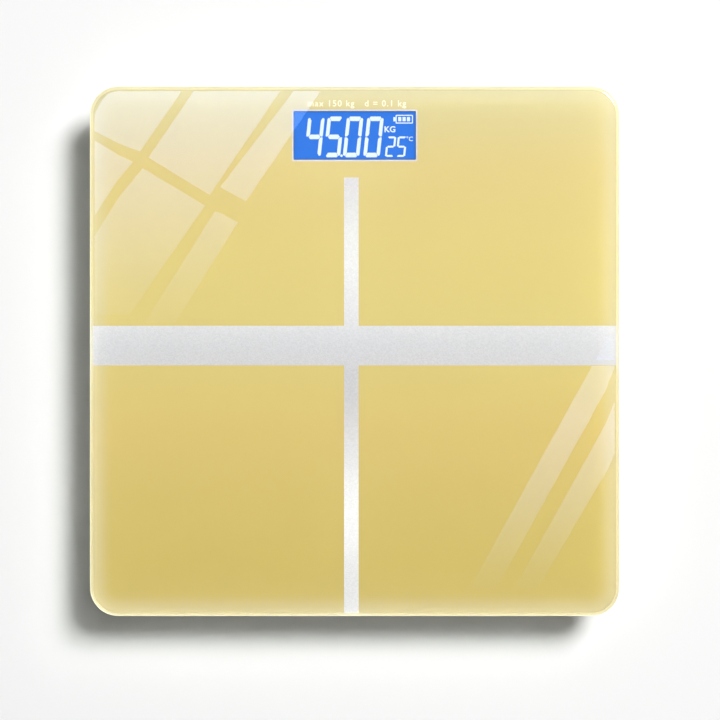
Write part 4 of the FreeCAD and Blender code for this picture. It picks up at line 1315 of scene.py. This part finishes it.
@dataclass
class LoadFoot(SubAssembly):
    """One corner's floating foot: its studded pad, its cup, its load cell and the bridge over it."""

    corner: Corner = Corner.FRONT_LEFT
    pad_radius: float = 19.5
    pad_high: float = 2.0
    pad_round: tuple[Point, ...] = ((0.0, 0.6), (0.15, 0.25), (0.6, 0.0))
    tread: float = 0.4
    grooves: Point = (8.8, 14.6)
    groove_deep: float = 1.0
    groove_half: float = 0.5
    groove_bevel: float = 0.1
    stud_radius: float = 0.62
    stud_root: float = 0.1

    def pad_profile(self) -> Outline:
        """The pad's profile: flat on top, rounded at its rim, with two grooves between its studded lands."""
        low, half, bevel = self.tread, self.groove_half, self.groove_bevel
        profile = [(0.0, self.pad_high), (self.pad_radius, self.pad_high)]
        profile += [(self.pad_radius - inset, low + rise) for inset, rise in self.pad_round]
        for middle in reversed(self.grooves):
            side = [(half + bevel, low), (half, low + bevel), (half, self.groove_deep)]
            profile += [(middle + across, level) for across, level in side]
            profile += [(middle - across, level) for across, level in reversed(side)]
        return [*profile, (0.0, low)]

    def build(self) -> None:
        """Makes the pad and dresses the rest of the foot, and the bridge and wires that stay in the base."""
        label = self.corner.value
        low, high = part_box("foot_pad_" + label)
        centre = ((low.x + high.x) / 2 / MM, (low.y + high.y) / 2 / MM)
        tree, inputs = StuddedPad(name="studded_pad_" + label).tree(PAD_RUBBER.material())
        values = {
            inputs["Stud radius"]: self.stud_radius * MM,
            inputs["Stud height"]: (self.tread + self.stud_root) * MM,
            inputs["Centre"]: (centre[0] * MM, centre[1] * MM, 0.0),
        }
        pad = grown(turned(self.pad_profile(), centre), tree, values)
        self.piece("studded_pad_" + label, pad, PAD_RUBBER, "pad_rubber", stands_for=["foot_pad_" + label],
                   smooth=True)
        finishes = {"foot_cup_": CUP_ABS, "load_cell_": CELL_STEEL, "strain_gauge_": SEALANT,
                    "load_bridge_": BLACK_NYLON, "load_cell_wires_": WHITE_PVC}
        self.dress_all({part + label: finish for part, finish in finishes.items()})


# ---------------------------------------------------------------- studio
@dataclass
class Studio:
    """The plain white table, the soft lamps, the window cards and the camera straight above."""

    glass_top: float = 25.0
    camera_x: float = 2.6
    camera_y: float = -4.3
    camera_height: float = 2000.0
    view_width: float = 353.2
    sensor: float = 36.0
    far_clip: float = 20.0
    table_half: float = 6000.0
    table_drop: float = 0.02
    key_power: float = 960.0
    key_size: float = 3.1
    key_from: Place = (4.2, 4.3, 5.25)
    fill_power: float = 5.0
    fill_size: float = 1.2
    fill_from: Place = (0.3, -0.4, -1.6)
    sky: float = 0.027
    backdrop: float = 0.97
    ceiling: float = 0.12
    wall_fade: Point = (0.55, 0.9)

    def table(self) -> None:
        """Makes the table's top, which only shows from above."""
        shape = bmesh.new()
        bmesh.ops.create_grid(shape, x_segments=8, y_segments=8, size=self.table_half * MM)
        mesh = finished("studio_table", shape)
        mesh.transform(Matrix.Translation((0.0, 0.0, -self.table_drop * MM)))
        mesh.materials.append(PaintedBackdrop("white_table_paint", "#fafafa").material())
        table = placed("studio_table", mesh)
        table.visible_shadow = False

    def sky_light(self) -> None:
        """Lights the scene evenly, weaker than the white that the camera and the gloss see."""
        world = bpy.data.worlds.new("studio_sky")
        bpy.context.scene.world = world
        world.use_nodes = True
        tree = world.node_tree
        tree.nodes.clear()
        path = add_node(tree, "ShaderNodeLightPath").outputs
        seen = reckon(tree, "MAXIMUM", path["Is Camera Ray"], path["Is Glossy Ray"])
        through = reckon(tree, "MAXIMUM", seen, path["Is Transmission Ray"])
        rise = axes(tree, add_node(tree, "ShaderNodeTexCoord").outputs["Generated"])[2]
        start, end = self.wall_fade
        wall = spread(tree, rise, self.backdrop, self.ceiling, start, end, smooth=True)
        soft = reckon(tree, "MULTIPLY", reckon(tree, "GREATER_THAN", rise), self.sky)
        power = spread(tree, through, low=soft, high=wall)
        light = add_node(tree, "ShaderNodeBackground", {"Color": linear("#ffffff"), "Strength": power})
        add_node(tree, "ShaderNodeOutputWorld", {"Surface": light.outputs[0]})

    def lamp(self, name: str, power: float, size: float, place: Place) -> bpy.types.Object:
        """Hangs a square soft lamp that points at the platform's middle.

        Args:
            name: its name.
            power: its power in watts.
            size: its side in metres.
            place: where it hangs, in metres.

        Returns:
            The lamp.
        """
        light = bpy.data.lights.new(name, "AREA")
        light.energy = power
        light.size = size
        made = placed(name, light)
        made.location = place
        made.rotation_euler = (-Vector(place)).to_track_quat("-Z", "Y").to_euler()
        return made

    def lamps(self) -> None:
        """Hangs the main lamp over the right rear corner, and a weak one below for the underside."""
        self.lamp("softbox", self.key_power, self.key_size, self.key_from)
        below = self.lamp("underside_fill", self.fill_power, self.fill_size, self.fill_from)
        below.visible_glossy = False

    def camera(self) -> None:
        """Puts the camera straight above the platform."""
        data = bpy.data.cameras.new("overhead_camera")
        data.sensor_width = self.sensor
        data.lens = self.sensor * self.camera_height / self.view_width
        data.clip_end = self.far_clip
        made = placed("overhead_camera", data)
        made.location = (self.camera_x * MM, self.camera_y * MM, (self.glass_top + self.camera_height) * MM)
        bpy.context.scene.camera = made

    def card(self, name: str, panes: Sequence[Outline], glow: CardGlow) -> None:
        """Hangs a card beside the camera whose mirror image falls on given places of the glass.

        Args:
            name: the card's name.
            panes: outlines on the glass, in millimetres from its middle.
            glow: the card's light.
        """
        shape = bmesh.new()
        height = (self.glass_top + self.camera_height) * MM
        for pane in panes:
            mirrored = [(2 * x - self.camera_x, 2 * y - self.camera_y) for x, y in pane]
            shape.faces.new([shape.verts.new((x * MM, y * MM, height)) for x, y in mirrored])
        mesh = finished(name, shape)
        mesh.materials.append(glow.material())
        made = placed(name, mesh)
        for ray in ("camera", "diffuse", "shadow", "transmission"):
            setattr(made, "visible_" + ray, False)

    def cards(self) -> None:
        """Hangs the window card at the left rear and the blind card at the right front."""
        panes = [
            [(-131.5, 129.5), (-83.6, 129.5), (-105.4, 98.0), (-131.5, 108.0)],
            [(-77.7, 129.5), (-35.4, 129.5), (-71.2, 76.6), (-101.2, 95.0)],
            [(-28.4, 129.5), (-16.2, 128.5), (-53.4, 73.5), (-66.0, 80.5)],
            [(-131.5, 103.5), (-108.7, 92.9), (-131.5, 66.6)],
            [(-104.0, 89.8), (-73.5, 71.5), (-110.3, 18.0), (-131.5, 18.0), (-131.5, 56.5)],
            [(-68.3, 69.0), (-57.3, 63.4), (-88.0, 14.0), (-103.0, 14.0)],
        ]
        fade = ((20.0, 0.0), (130.0, 0.45), (190.0, 0.68), (270.0, 0.82))
        self.card("window_card", panes, CardGlow("window_daylight", DAYLIGHT, levels=fade, strength=8.0))
        blinds = [
            [(116.4, -7.2), (129.0, -7.2), (129.0, -8.6), (69.0, -117.4), (56.0, -117.4)],
            [(129.0, -24.9), (129.0, -49.5), (88.0, -119.6), (76.7, -119.6)],
            [(123.8, 7.0), (129.0, 7.0), (129.0, -4.3), (118.5, -4.3)],
        ]
        fade = ((-235.0, 0.0), (-150.0, 0.3), (-60.0, 0.55), (-12.0, 0.5), (0.0, 0.16), (20.0, 0.12))
        self.card("blind_card", blinds, CardGlow("blind_daylight", DAYLIGHT, levels=fade, strength=9.6))

    def build(self) -> None:
        """Makes the whole studio."""
        self.camera()
        self.table()
        self.sky_light()
        self.lamps()
        self.cards()
        scene = bpy.context.scene
        scene.view_settings.view_transform = "Standard"
        scene.view_settings.look = "None"


def main() -> None:
    """Builds the studio and every sub-assembly, in order."""
    logging.basicConfig(level=logging.INFO, format="%(name)s: %(message)s")
    Studio().build()
    parts: list[SubAssembly] = [Platform(), Display(), Board(), BaseTray(), BatteryBay()]
    parts += [LoadFoot(corner=corner, body="foot_" + corner.value) for corner in Corner]
    for part in parts:
        part.build()


if __name__ == "__main__":
    main()
